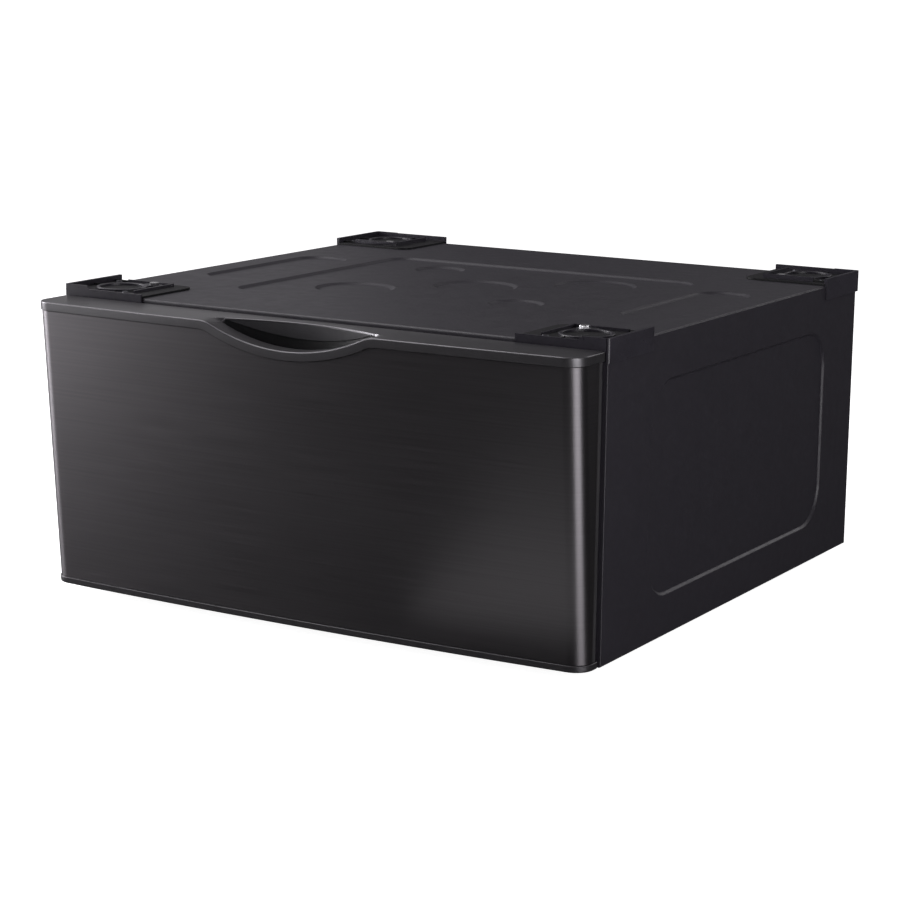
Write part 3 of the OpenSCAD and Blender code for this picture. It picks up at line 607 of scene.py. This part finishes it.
STATIONS = front_stations()
GRIP_STATIONS = [s for s in STATIONS if abs(s[0].x) <= POCKET_HALF + 1e-6]


def front_point(station, grow, z):
    """The point at height z on the tilted front, grow outside its outline at a station."""
    p, n = station
    y = (p.y + n.y * grow) / math.cos(TILT) - (z - FACE_LOW) * math.tan(TILT)
    return Vector((p.x + n.x * grow, FRONT_Y + y, z))


def edge_z(x, inset=0.0):
    """Height of the front's top edge, with its dip, at x; inset lowers it square to the edge."""
    x = abs(x)
    if x >= SHOULDER_X:
        return FACE_HIGH - inset
    if x >= DIP_JOIN:
        r = SHOULDER_R - inset
        return FACE_HIGH - SHOULDER_R + math.sqrt(max(0.0, r * r - (SHOULDER_X - x) ** 2))
    r = DIP_R + inset
    return DIP_Z - math.sqrt(r * r - x * x)


def build_front_skin():
    """The brushed skin and its side returns; the grain map's first axis follows the skin's length."""
    bm = bmesh.new()
    uv = bm.loops.layers.uv.new("grain")
    low = FACE_LOW + FOOT_H + SEAM
    columns, lengths, walked = [], [], 0.0
    previous = None
    for station in [None] + STATIONS + [None]:
        column = []
        beside = station or (STATIONS[0] if not columns else STATIONS[-1])
        high = edge_z(beside[0].x, TRIM_H + SEAM)
        for r in range(SKIN_ROWS + 1):
            z = low + (high - low) * r / SKIN_ROWS
            spot = front_point(beside, 0, z)
            if station is None:
                spot.y = SKIN_BACK_Y
            column.append(bm.verts.new(spot))
        if previous is not None:
            walked += (column[0].co - previous).length
        previous = column[0].co.copy()
        columns.append(column)
        lengths.append(walked)
    for i in range(len(columns) - 1):
        for r in range(SKIN_ROWS):
            quad = ((i, r), (i + 1, r), (i + 1, r + 1), (i, r + 1))
            face = bm.faces.new([columns[c][k] for c, k in quad])
            for loop, (c, k) in zip(face.loops, quad):
                loop[uv].uv = (lengths[c], columns[c][k].co.z)
    piece(bm, "brushed_skin", BLACK_STAINLESS, "drawer", ["front_skin"], sheet=SKIN_SHEET)


def lip_rings(bm, profile, height):
    """Sweeps a closed (grow, inset) profile round the front; height gives z for an x and an inset."""
    rings = []
    for index, station in enumerate([STATIONS[0]] + STATIONS + [STATIONS[-1]]):
        at_back = index in (0, len(STATIONS) + 1)
        ring = []
        for grow, inset in profile:
            spot = front_point(station, grow, height(station[0].x, inset))
            if at_back:
                spot.y = BACK_Y
            ring.append(bm.verts.new(spot))
        rings.append(ring)
    grid_faces(bm, rings, True)
    bm.faces.new(list(reversed(rings[0])))
    bm.faces.new(rings[-1])


def lip_profile(low):
    """Section of the trim's lip: front face, rounded front edge, top and inner face, as (grow, inset)."""
    r = 1.7 * MM
    front = [(-0.6 * MM, low), (0.35 * MM, low)]
    front += [(PROUD - 0.35 * MM, low - 0.05 * MM), (PROUD, low - 0.45 * MM)]
    bend = [(PROUD - r + r * math.sin(math.radians(a)), r - r * math.cos(math.radians(a)))
            for a in (90, 75, 60, 45, 30, 15, 0)]
    inner = [(-LIP + 0.02 * MM, 0), (-LIP, 0.05 * MM), (-LIP, low - 1.5 * MM), (-0.6 * MM, low - 1.5 * MM)]
    return front + bend + inner


def rim_y(x):
    """Where the rear rim of the handle opening is at x."""
    return RIM_Y - RIM_R + math.sqrt(RIM_R**2 - x**2)


def deck_z(x, y):
    """Height of the deck behind the lip: flat, and following the dip in front of the rim's curve."""
    if abs(x) >= SHOULDER_X:
        return FACE_HIGH
    step = smooth_step((rim_y(x) - y) / (0.8 * MM))
    return FACE_HIGH - step * (FACE_HIGH - edge_z(x))


def rim_turns():
    """Angles along the rear rim's arc, from its right end to its left end."""
    end = math.asin(POCKET_HALF / RIM_R)
    return [end - 2 * end * k / RIM_STEPS for k in range(RIM_STEPS + 1)]


def opening_path():
    """The handle opening's wall from the lip on the right, round the rear rim, to the lip on the left."""
    right = next(s for s in STATIONS if abs(s[0].x - POCKET_HALF) < 1e-6)
    lip_end = front_point(right, -LIP, edge_z(POCKET_HALF)).y
    reach = rim_y(POCKET_HALF) - 0.8 * MM - lip_end
    side = [((POCKET_HALF, lip_end + reach * k / 4), (1.0, 0.0)) for k in range(5)]
    arc = []
    for a in rim_turns():
        arc.append(((RIM_R * math.sin(a), RIM_Y - RIM_R + RIM_R * math.cos(a)), (math.sin(a), math.cos(a))))
    mirrored = [((-x, y), (-nx, ny)) for (x, y), (nx, ny) in reversed(side)]
    return [(Vector(p), Vector(n)) for p, n in side + arc + mirrored]


def build_deck(bm, path):
    """The flat deck behind the lip; returns its edge along the handle opening."""
    outer = [p + n * RIM_ROUND for p, n in path]
    outer[0].y = path[0][0].y
    outer[-1].y = path[-1][0].y
    beside = [s for s in STATIONS if abs(s[0].x) > POCKET_HALF + RIM_ROUND]
    edge = [front_point(s, -LIP + 0.02 * MM, FACE_HIGH).to_2d() for s in beside]
    left = [p for p in edge if p.x < 0]
    right = [p for p in edge if p.x > 0]
    back_left, back_right = Vector((left[0].x, BACK_Y)), Vector((right[-1].x, BACK_Y))
    loop = [back_left] + left + list(reversed(outer)) + right + [back_right]
    lines = []
    beyond_rim = [96 * MM, 98 * MM, 102 * MM, 106 * MM, SHOULDER_X]
    for side in (-1, 1):
        for shift in (0, 0.4 * MM, 0.8 * MM):
            lines.append([Vector((side * x, rim_y(x) - shift)) for x in beyond_rim])
    points, faces = filled([loop], lines)
    verts = [bm.verts.new((p.x, p.y, deck_z(p.x, p.y))) for p in points]
    for face in faces:
        bm.faces.new([verts[i] for i in face])
    back = [bm.verts.new((p.x, p.y, FACE_HIGH)) for p in (back_left, back_right)]
    fold = [bm.verts.new((p.x, p.y, FACE_HIGH - DECK)) for p in (back_left, back_right)]
    bm.faces.new((back[0], back[1], fold[1], fold[0]))
    return outer


def round_opening(bm, path, outer):
    """The quarter round from the deck down into the handle opening, and the wall under it."""
    rings = []
    for (p, n), rim in zip(path, outer):
        top = deck_z(rim.x, rim.y)
        ring = [bm.verts.new((rim.x, rim.y, top))]
        for a in (22, 45, 68, 90):
            off = RIM_ROUND * (1 - math.sin(math.radians(a)))
            drop = RIM_ROUND * (1 - math.cos(math.radians(a)))
            spot = p + n * off
            ring.append(bm.verts.new((spot.x, spot.y, top - drop)))
        ring.append(bm.verts.new((p.x, p.y, top - DECK)))
        rings.append(ring)
    grid_faces(bm, rings, False)


def build_top_trim():
    """The trim along the top edge: the lip, which follows the dip, and the deck behind it."""
    bm = bmesh.new()
    lip_rings(bm, lip_profile(TRIM_H), edge_z)
    path = opening_path()
    outer = build_deck(bm, path)
    round_opening(bm, path, outer)
    piece(bm, "top_trim", TRIM_PLASTIC, "drawer", ["front_top_trim"], angle=TRIM_ANGLE)


def build_rim_skirt():
    """The wall that hangs from the rear rim of the handle opening, arched along its lower edge."""
    bm = bmesh.new()
    rings = []
    for a in rim_turns():
        n = Vector((math.sin(a), math.cos(a)))
        p = Vector((0, RIM_Y - RIM_R)) + n * RIM_R
        high = FACE_HIGH - 1.2 * MM
        arch = FACE_HIGH - SKIRT_DROP + SKIRT_R - math.sqrt(SKIRT_R**2 - p.x**2)
        low = min(arch, FACE_HIGH - DECK)
        thin = 0.05 * MM
        section = ((thin, high), (thin, low + 0.3 * MM), (0.35 * MM, low), (SKIRT_T, low), (SKIRT_T, high))
        ring = []
        for off, z in section:
            spot = p + n * off
            ring.append(bm.verts.new((spot.x, spot.y, z)))
        rings.append(ring)
    grid_faces(bm, rings, True)
    bm.faces.new(rings[0])
    bm.faces.new(list(reversed(rings[-1])))
    bmesh.ops.recalc_face_normals(bm, faces=bm.faces)
    piece(bm, "rim_skirt", SKIRT_PLASTIC, "drawer", ["front_top_trim"], angle=TRIM_ANGLE)


def build_grip_shelf():
    """The flat shelf at the foot of the dip, with a rounded rear edge over the gap for the fingers."""
    bm = bmesh.new()
    back, r = FRONT_Y - SHELF_BACK, 1 * MM
    rings = []
    for station in GRIP_STATIONS:
        top = edge_z(station[0].x, 0.03 * MM)
        front = front_point(station, 0.5 * MM - LIP, top)
        ring = [bm.verts.new(front)]
        for a in (0, 18, 36, 54, 72, 90, 108, 126, 144, 162, 180):
            turn = math.radians(a)
            ring.append(bm.verts.new((front.x, back - r + r * math.sin(turn), top - r + r * math.cos(turn))))
        ring.append(bm.verts.new(front_point(station, 0.5 * MM - LIP, top - 2 * r)))
        rings.append(ring)
    grid_faces(bm, rings, True)
    bm.faces.new(rings[0])
    bm.faces.new(list(reversed(rings[-1])))
    bmesh.ops.recalc_face_normals(bm, faces=bm.faces)
    piece(bm, "grip_shelf", TRIM_PLASTIC, "drawer", ["front_top_trim"], angle=TRIM_ANGLE)


def build_bottom_trim():
    """The trim along the bottom edge: the same lip upside down, and a flat plate behind it."""
    bm = bmesh.new()
    lip_rings(bm, lip_profile(FOOT_H), lambda x, inset: FACE_LOW + inset)
    bmesh.ops.reverse_faces(bm, faces=bm.faces)
    edge = [front_point(s, -LIP, FACE_LOW) for s in STATIONS]
    left, right = edge[0].x, edge[-1].x
    loop = [Vector((left, BACK_Y))] + [p.to_2d() for p in edge] + [Vector((right, BACK_Y))]
    for z, flip in ((FACE_LOW, True), (FACE_LOW + DECK, False)):
        points, faces = filled([loop])
        verts = [bm.verts.new((p.x, p.y, z)) for p in points]
        for face in faces:
            bm.faces.new([verts[i] for i in (reversed(face) if flip else face)])
    high = FACE_LOW + DECK
    outline = ((left, FACE_LOW), (left, high), (right, high), (right, FACE_LOW))
    bm.faces.new([bm.verts.new((x, BACK_Y, z)) for x, z in outline])
    piece(bm, "bottom_trim", TRIM_PLASTIC, "drawer", ["front_bottom_trim"], angle=TRIM_ANGLE)


def build_handle_pocket():
    """The black cup behind the dip: front wall along the skin, rear wall behind the skirt, rounded floor."""
    bm = bmesh.new()
    wall, fillet = 2 * MM, 7 * MM
    floor_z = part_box("handle_pocket")[0].z + wall
    under = FACE_HIGH - DECK

    def ring(share, drop, inset):
        """One level of the cup: share of the way down to the fillet, or drop and inset along it."""
        verts = []
        for s in GRIP_STATIONS:
            high = min(under, edge_z(s[0].x, TRIM_H))
            z = floor_z + fillet - drop if share >= 1 else high + (floor_z + fillet - high) * share
            spot = front_point(s, -1 * MM - wall - inset, z)
            spot.x *= 1 - inset / POCKET_HALF
            verts.append(bm.verts.new(spot))
        for a in rim_turns():
            z = floor_z + fillet - drop if share >= 1 else under + (floor_z + fillet - under) * share
            r = RIM_R + SKIRT_T - inset
            x = r * math.sin(a) * (1 - inset / POCKET_HALF)
            verts.append(bm.verts.new((x, RIM_Y - RIM_R + r * math.cos(a), z)))
        return verts

    rings = [ring(share, 0, 0) for share in (0, 0.25, 0.5, 0.75, 1)]
    for a in (18, 36, 54, 72, 90):
        turn = math.radians(a)
        rings.append(ring(1, fillet * math.sin(turn), fillet * (1 - math.cos(turn))))
    grid_faces(bm, rings, True)
    bm.faces.new(rings[-1])
    bmesh.ops.recalc_face_normals(bm, faces=bm.faces)
    bmesh.ops.reverse_faces(bm, faces=bm.faces)
    piece(bm, "handle_cup", POCKET_PLASTIC, "drawer", ["handle_pocket"], sheet=CUP_SHEET)


build_top_panel()
build_side_panel(1, "right_side_panel")
build_side_panel(-1, "left_side_panel")
build_rear_panel()
build_front_skin()
build_top_trim()
build_rim_skirt()
build_grip_shelf()
build_bottom_trim()
build_handle_pocket()

# ---- corner caps ----


def lay_face(bm, loops, z, up=True):
    """A flat face at height z inside the first loop, without the areas of the other loops."""
    spots, faces = filled(loops, (), FACES_WITHOUT_HOLES, 1e-8)
    verts = [bm.verts.new((p.x, p.y, z)) for p in spots]
    for face in faces:
        made = bm.faces.new([verts[i] for i in face])
        made.normal_update()
        if (made.normal.z > 0) != up:
            made.normal_flip()


def prism(bm, loops, z0, z1):
    """An upright solid with the first loop as its outline and the other loops as holes."""
    start = len(bm.verts)
    lay_face(bm, loops, z1)
    lay_face(bm, loops, z0, False)
    for index, loop in enumerate(loops):
        area = sum(a.x * b.y - b.x * a.y for a, b in zip(loop, loop[1:] + loop[:1]))
        turn = (area > 0) == (index == 0)
        for a, b in zip(loop, loop[1:] + loop[:1]):
            low = [bm.verts.new((p.x, p.y, z0)) for p in (a, b)]
            high = [bm.verts.new((p.x, p.y, z1)) for p in (a, b)]
            ring = (low[0], low[1], high[1], high[0])
            bm.faces.new(ring if turn else ring[::-1])
    bm.verts.ensure_lookup_table()
    fresh = [bm.verts[i] for i in range(start, len(bm.verts))]
    bmesh.ops.remove_doubles(bm, verts=fresh, dist=1e-7)


def corners(*points):
    """A loop of points given in millimetres."""
    return [Vector(p) * MM for p in points]


def arc_points(cx, cy, r, a0, a1, steps):
    """Points along an arc, from angle a0 to a1 in degrees, with its middle and radius in millimetres."""
    points = []
    for k in range(steps + 1):
        a = math.radians(a0 + (a1 - a0) * k / steps)
        points.append(Vector((cx + r * math.cos(a), cy + r * math.sin(a))) * MM)
    return points


def bar(bm, lo, hi):
    """An upright block between two corners, in millimetres."""
    (x0, y0, z0), (x1, y1, z1) = lo, hi
    prism(bm, [corners((x0, y0), (x1, y0), (x1, y1), (x0, y1))], z0 * MM, z1 * MM)


def turned(bm, profile, cx, cy, steps=64):
    """A turned solid from (radius, height) points in millimetres, about an upright axis."""
    rings = []
    for k in range(steps):
        a = 2 * math.pi * k / steps
        rings.append([bm.verts.new((cx * MM + r * MM * math.cos(a), cy * MM + r * MM * math.sin(a), z * MM))
                      for r, z in profile])
    for ring, after in zip(rings, rings[1:] + rings[:1]):
        for i in range(len(profile) - 1):
            bm.faces.new((ring[i], after[i], after[i + 1], ring[i + 1]))
    bmesh.ops.remove_doubles(bm, verts=[v for ring in rings for v in ring], dist=1e-7)


def to_corner(bm, side, rear):
    """Carries a shape drawn at a corner (inward, along, up) to that corner of the cabinet's top."""
    for v in bm.verts:
        a, b, c = v.co
        v.co = Vector((side * (HALF_W - a), REAR_Y - b if rear else FRONT_Y + b, TOP_Z + c))
    if (side > 0) != rear:
        bmesh.ops.reverse_faces(bm, faces=bm.faces)


def merge(bm, part):
    """Adds another bmesh to bm and frees it."""
    made = bpy.data.meshes.new("part")
    part.to_mesh(made)
    part.free()
    bm.from_mesh(made)
    bpy.data.meshes.remove(made)


# Caps and bolts, in millimetres: inwards from the side, along from the cabinet's end, up from its top.
SEAT = (46, 41)
BOLT = (66, 74)
BOLT_FLATS = 10
HEAD_LOW, HEAD_HIGH = 4.1, 7.1
HEAD_TURN = 20
CAP_END = 105.7
CAP_LENGTH = 97
CAP_TOP = 8.5
CAP_CORNER_R = 3.2
WALL_LOW = -16.5
SIDE_PROUD = 2.3
IN_FLOOR = 1.2  # ribs and fences start inside the floor
# How far the end wall stands proud, the height of its low part, how deep it hangs, and the fences' height.
FRONT_CAP = (2, 4.6, 6, 5.5)
REAR_CAP = (3.4, 8.0, 12, 7.5)
# Blocks as opposite corners in plan, with the height of their top for the ribs.
RIBS = ((0, 45, 17.6, 46.6, 4.4), (0, 84.4, 21, 86.1, 4.4),
        (36, -0.8, 37.6, 13.8, 3.6), (57, -0.8, 58.6, 14.8, 3.6))
FENCES = ((82, 14, 84.5, 82), (20, 84, 84.5, 86.5), (82, 80, 84.5, 86.5))
# Turned sections as (radius, height).
SEAT_RING = [(25, 1.2), (25, 4.3), (25.3, 4.8), (25.8, 5.0), (28.2, 5.0), (28.7, 4.8), (29, 4.3),
             (29, 1.2), (25, 1.2)]
BOSS = [(0, 2.6), (10.4, 2.6), (10.8, 2.4), (11, 2.0), (11, 0.6), (0, 0.6), (0, 2.6)]
SHANK = [(0, 4.5), (0, -11.9), (2.5, -11.9), (3, -11.3), (3, 4.5), (0, 4.5)]


def build_cap_floor(side, rear, name):
    """The textured floor, coloured near black as painted shade for a deep tray in shadow, with a wedge-shaped
    hole and four low ribs.
    """
    bm = bmesh.new()
    outline = corners((-0.1, -0.6), (CAP_END, -0.6)) + arc_points(91.7, 83.4, 14, 0, 90, 10)
    outline += corners((-0.1, 97.4))
    wedge = corners((86.5, 10), (99, 10), (99, 62))
    prism(bm, [outline, wedge], 0.1 * MM, 2.3 * MM)
    for x0, y0, x1, y1, high in RIBS:
        bar(bm, (x0, y0, IN_FLOOR), (x1, y1, high))
    to_corner(bm, side, rear)
    piece(bm, name + "_floor", CAP_FLOOR_PAINTED_SHADE, "cabinet", [name], bevel=0.4 * MM, segments=2)


def build_cap_seat(side, rear, name):
    """The ring that an appliance foot stands in, and the round boss under the bolt's head."""
    bm = bmesh.new()
    turned(bm, SEAT_RING, *SEAT)
    turned(bm, BOSS, *BOLT, 48)
    to_corner(bm, side, rear)
    piece(bm, name + "_seat", CAP_PLASTIC, "cabinet", [name], angle=50)


def build_end_wall(proud, low, skirt):
    """The wall along the cabinet's end: full height at the corner, sloping down to its low part."""
    bm = bmesh.new()
    slope = CAP_TOP - low
    profile = corners((0.8, -skirt), (CAP_END, -skirt), (CAP_END, low), (29 + slope, low))
    profile += corners((29, CAP_TOP), (0.8, CAP_TOP))
    prism(bm, [profile], -0.6 * MM, proud * MM)
    for v in bm.verts:
        v.co = Vector((v.co.x, -v.co.z, v.co.y))
    return bm


def build_cap_moulding(side, rear, name):
    """The walls along the side and the end, joined by a rounded corner, and the fences inside them."""
    proud, low, skirt, fence = REAR_CAP if rear else FRONT_CAP
    bm = bmesh.new()
    r = CAP_CORNER_R
    wall = arc_points(r - SIDE_PROUD, r - proud, r, 180, 270, 8)
    wall += corners((1.6, -proud), (1.6, CAP_LENGTH), (-SIDE_PROUD, CAP_LENGTH))
    prism(bm, [wall], WALL_LOW * MM, CAP_TOP * MM)
    merge(bm, build_end_wall(proud, low, skirt))
    for x0, y0, x1, y1 in FENCES:
        bar(bm, (x0, y0, IN_FLOOR), (x1, y1, fence))
    to_corner(bm, side, rear)
    piece(bm, name + "_moulding", CAP_PLASTIC, "cabinet", [name], bevel=0.8 * MM, segments=3)


def build_cap(side, rear):
    """A corner cap in three pieces: its floor, its turned seat and boss, and its walls and fences."""
    name = "%s_%s_cap" % ("rear" if rear else "front", "right" if side > 0 else "left")
    build_cap_floor(side, rear, name)
    build_cap_seat(side, rear, name)
    build_cap_moulding(side, rear, name)


def hex_head(bm, cx, cy):
    """The bolt's hexagon head, with its corners turned down at the top; sizes in millimetres."""
    steps = 36
    apothem = BOLT_FLATS / 2
    whole = BOLT_FLATS
    sections = ((HEAD_LOW, whole), (HEAD_HIGH - 0.9, whole), (HEAD_HIGH - 0.35, apothem + 0.35),
                (HEAD_HIGH, apothem - 0.6), (HEAD_HIGH, 0))
    rings = []
    for z, reach in sections:
        ring = []
        for k in range(steps):
            a = 360 * k / steps
            r = min(reach, apothem / math.cos(math.radians(a % 60 - 30)))
            at = math.radians(a + HEAD_TURN)
            ring.append(bm.verts.new(((cx + r * math.cos(at)) * MM, (cy + r * math.sin(at)) * MM, z * MM)))
        rings.append(ring)
    low = bm.verts.new((cx * MM, cy * MM, HEAD_LOW * MM))
    for i in range(steps):
        bm.faces.new((low, rings[0][(i + 1) % steps], rings[0][i]))
    grid_faces(bm, rings, True)
    bmesh.ops.remove_doubles(bm, verts=[v for r in rings for v in r] + [low], dist=1e-7)


def build_cap_bolts():
    """The hex-head bolts of the four caps, as one piece."""
    bm = bmesh.new()
    for side in (-1, 1):
        for rear in (False, True):
            one = bmesh.new()
            hex_head(one, *BOLT)
            turned(one, SHANK, *BOLT, 32)
            to_corner(one, side, rear)
            merge(bm, one)
    piece(bm, "cap_bolt_set", ZINC, "cabinet", ["cap_bolts"])


# ---- parts kept at their drawn shape, with their edges rounded ----

BODY_OF = {node: body for body, nodes in frame["record"]["behaviour"]["bodies"].items() for node in nodes}
EDGE_ROUND = 0.25 * MM
DARK_SCREWS = {"cap_screws": "clamp_steel"}
REBUILT = {"top_panel", "left_side_panel", "right_side_panel", "rear_panel", "front_skin", "front_top_trim",
           "front_bottom_trim", "handle_pocket", "cap_bolts", "front_left_cap", "front_right_cap",
           "rear_left_cap", "rear_right_cap"}


def refine(node_name):
    """The part as drawn, with its flat faces joined and every hard edge rounded."""
    source = frame["nodes"][node_name]
    bm = bmesh.new()
    bm.from_mesh(source.data)
    bm.transform(source.matrix_world)
    bmesh.ops.remove_doubles(bm, verts=bm.verts, dist=1e-6)
    bmesh.ops.dissolve_limit(bm, angle_limit=0.01, verts=bm.verts, edges=bm.edges)
    slot = DARK_SCREWS.get(node_name, NODE_SLOT[node_name])
    piece(bm, node_name + "_part", SLOTS[slot], BODY_OF[node_name], [node_name],
          bevel=EDGE_ROUND, segments=2)


for cap_side in (-1, 1):
    for cap_rear in (False, True):
        build_cap(cap_side, cap_rear)
build_cap_bolts()
for drawn in sorted(frame["nodes"]):
    if drawn not in REBUILT:
        refine(drawn)

# ---- stage: floor, light and camera ----

LIGHT_TINT = (0.99, 0.97, 1.0)
FLOOR_HALF = 40
FLOOR_GLOW = 0.93
ROOM_TINT = (0.98, 0.95, 1.0, 1)
ROOM_LOW, ROOM_HIGH = 0.037, 0.235
CAMERA_AZIMUTH, CAMERA_ELEVATION, CAMERA_ROLL = 30.825, 11.488, 0.736
CAMERA_DISTANCE = 2.958
CAMERA_LENS = 99.26
CAMERA_TARGET = cab(-31.9, 325, 127.7)


def out_to(azimuth, elevation):
    """The direction from the cabinet out to a light or the camera, from its angles in radians."""
    level = math.cos(elevation)
    return Vector((math.sin(azimuth) * level, -math.cos(azimuth) * level, math.sin(elevation)))


def area_light(name, width, height, radiance):
    """An even rectangular light panel that the camera doesn't see; it faces down until it is turned."""
    data = bpy.data.lights.new(name, "AREA")
    data.shape = "RECTANGLE"
    data.size = width
    data.size_y = height
    data.energy = radiance * math.pi * width * height
    light = bpy.data.objects.new(name, data)
    light.visible_camera = False
    bpy.context.scene.collection.objects.link(light)
    return light


def soft_box(name, aim, azimuth, elevation, distance, width, height, radiance):
    """A light panel that faces a point of the cabinet, from an azimuth and elevation in degrees."""
    back = out_to(math.radians(azimuth), math.radians(elevation))
    light = area_light(name, width, height, radiance)
    light.data.color = LIGHT_TINT
    light.location = aim + back * distance
    light.rotation_mode = "QUATERNION"
    light.rotation_quaternion = (-back).to_track_quat("-Z", "Y")


def floor_card(name, x, y, width, depth, radiance):
    """A light panel that lies just above the floor in front of the drawer and faces up."""
    light = area_light(name, width, depth, radiance)
    light.location = (x, y, 0.02)
    light.rotation_euler = (math.pi, 0, 0)


def build_floor():
    """White paper that glows for the camera only and isn't seen in reflections."""
    bm = bmesh.new()
    bmesh.ops.create_grid(bm, x_segments=8, y_segments=8, size=FLOOR_HALF)
    mesh = bpy.data.meshes.new("floor")
    bm.to_mesh(mesh)
    bm.free()
    floor = bpy.data.objects.new("floor", mesh)
    bpy.context.scene.collection.objects.link(floor)
    material = bpy.data.materials.new("floor_paper")
    material.use_nodes = True
    tree = material.node_tree
    shader = tree.nodes["Principled BSDF"]
    shader.inputs["Base Color"].default_value = (0.86, 0.86, 0.86, 1)
    shader.inputs["Roughness"].default_value = 0.9
    shader.inputs["Specular IOR Level"].default_value = 0.1
    shader.inputs["Emission Color"].default_value = (1, 1, 1, 1)
    path = tree.nodes.new("ShaderNodeLightPath")
    seen = tree.nodes.new("ShaderNodeMath")
    seen.operation = "MULTIPLY"
    seen.inputs[1].default_value = FLOOR_GLOW
    tree.links.new(path.outputs["Is Camera Ray"], seen.inputs[0])
    tree.links.new(seen.outputs[0], shader.inputs["Emission Strength"])
    mesh.materials.append(material)
    floor.visible_glossy = False


def build_world():
    """A white backdrop for the camera, and for everything else a dim room that is lighter overhead."""
    world = bpy.data.worlds.new("studio")
    bpy.context.scene.world = world
    world.use_nodes = True
    tree = world.node_tree
    background = tree.nodes["Background"]
    where = tree.nodes.new("ShaderNodeTexCoord")
    split = tree.nodes.new("ShaderNodeSeparateXYZ")
    tree.links.new(where.outputs["Generated"], split.inputs["Vector"])
    rise = tree.nodes.new("ShaderNodeMapRange")
    rise.interpolation_type = "SMOOTHSTEP"
    rise.inputs["From Min"].default_value = 0.15
    rise.inputs["From Max"].default_value = 1.0
    rise.inputs["To Min"].default_value = ROOM_LOW
    rise.inputs["To Max"].default_value = ROOM_HIGH
    tree.links.new(split.outputs["Z"], rise.inputs["Value"])
    background.inputs["Color"].default_value = ROOM_TINT
    tree.links.new(rise.outputs["Result"], background.inputs["Strength"])
    backdrop = tree.nodes.new("ShaderNodeBackground")
    backdrop.inputs["Color"].default_value = (1, 1, 1, 1)
    path = tree.nodes.new("ShaderNodeLightPath")
    mix = tree.nodes.new("ShaderNodeMixShader")
    tree.links.new(path.outputs["Is Camera Ray"], mix.inputs["Fac"])
    tree.links.new(background.outputs["Background"], mix.inputs[1])
    tree.links.new(backdrop.outputs["Background"], mix.inputs[2])
    tree.links.new(mix.outputs["Shader"], tree.nodes["World Output"].inputs["Surface"])


def build_camera():
    """The photograph's viewpoint, as solved from the straight edges of the cabinet and the drawer."""
    azimuth, elevation, tilt = map(math.radians, (CAMERA_AZIMUTH, CAMERA_ELEVATION, CAMERA_ROLL))
    back = out_to(azimuth, elevation)
    right = Vector((math.cos(azimuth), math.sin(azimuth), 0))
    up = back.cross(right)
    right_rolled = right * math.cos(tilt) + up * math.sin(tilt)
    up_rolled = up * math.cos(tilt) - right * math.sin(tilt)
    data = bpy.data.cameras.new("camera")
    data.lens = CAMERA_LENS
    data.sensor_width = 36
    camera = bpy.data.objects.new("camera", data)
    turn = Matrix((right_rolled, up_rolled, back)).transposed().to_4x4()
    camera.matrix_world = Matrix.Translation(CAMERA_TARGET + back * CAMERA_DISTANCE) @ turn
    bpy.context.scene.collection.objects.link(camera)
    bpy.context.scene.camera = camera


build_floor()
build_world()

# Each panel: where it aims, azimuth, elevation, distance, width, height and radiance.
LEFT_END = cab(-340, -60, 180)
RIGHT_END = cab(340, -60, 180)
MIDDLE = cab(0, 200, 250)
soft_box("left_wall", LEFT_END, -75, 12, 2.6, 2.2, 1.6, 7.4)
soft_box("left_edge", LEFT_END, -79, 6, 2.6, 0.6, 1.8, 6)
soft_box("right_side", RIGHT_END, 66, 4, 2.4, 1.7, 1.8, 4.6)
soft_box("overhead", MIDDLE, -68, 57, 2.4, 1.6, 1.6, 3.6)
soft_box("left_rear", MIDDLE, -128, 20, 2.6, 1.6, 1.2, 0.27)
soft_box("rear", MIDDLE, -173, 31, 2.6, 0.9, 0.7, 0.35)
soft_box("rear_high", MIDDLE, -125, 52, 2.4, 1.2, 1.0, 0.6)
soft_box("right_rear", MIDDLE, 157, 21, 2.6, 1.4, 1.0, 1.5)
# Each card: x, y, width, depth and radiance.
floor_card("left_card", -1.25, -1.15, 0.7, 0.7, 1.2)
floor_card("right_card", 0.50, -0.55, 0.80, 0.30, 0.36)
build_camera()

bpy.context.scene.view_settings.view_transform = "Standard"
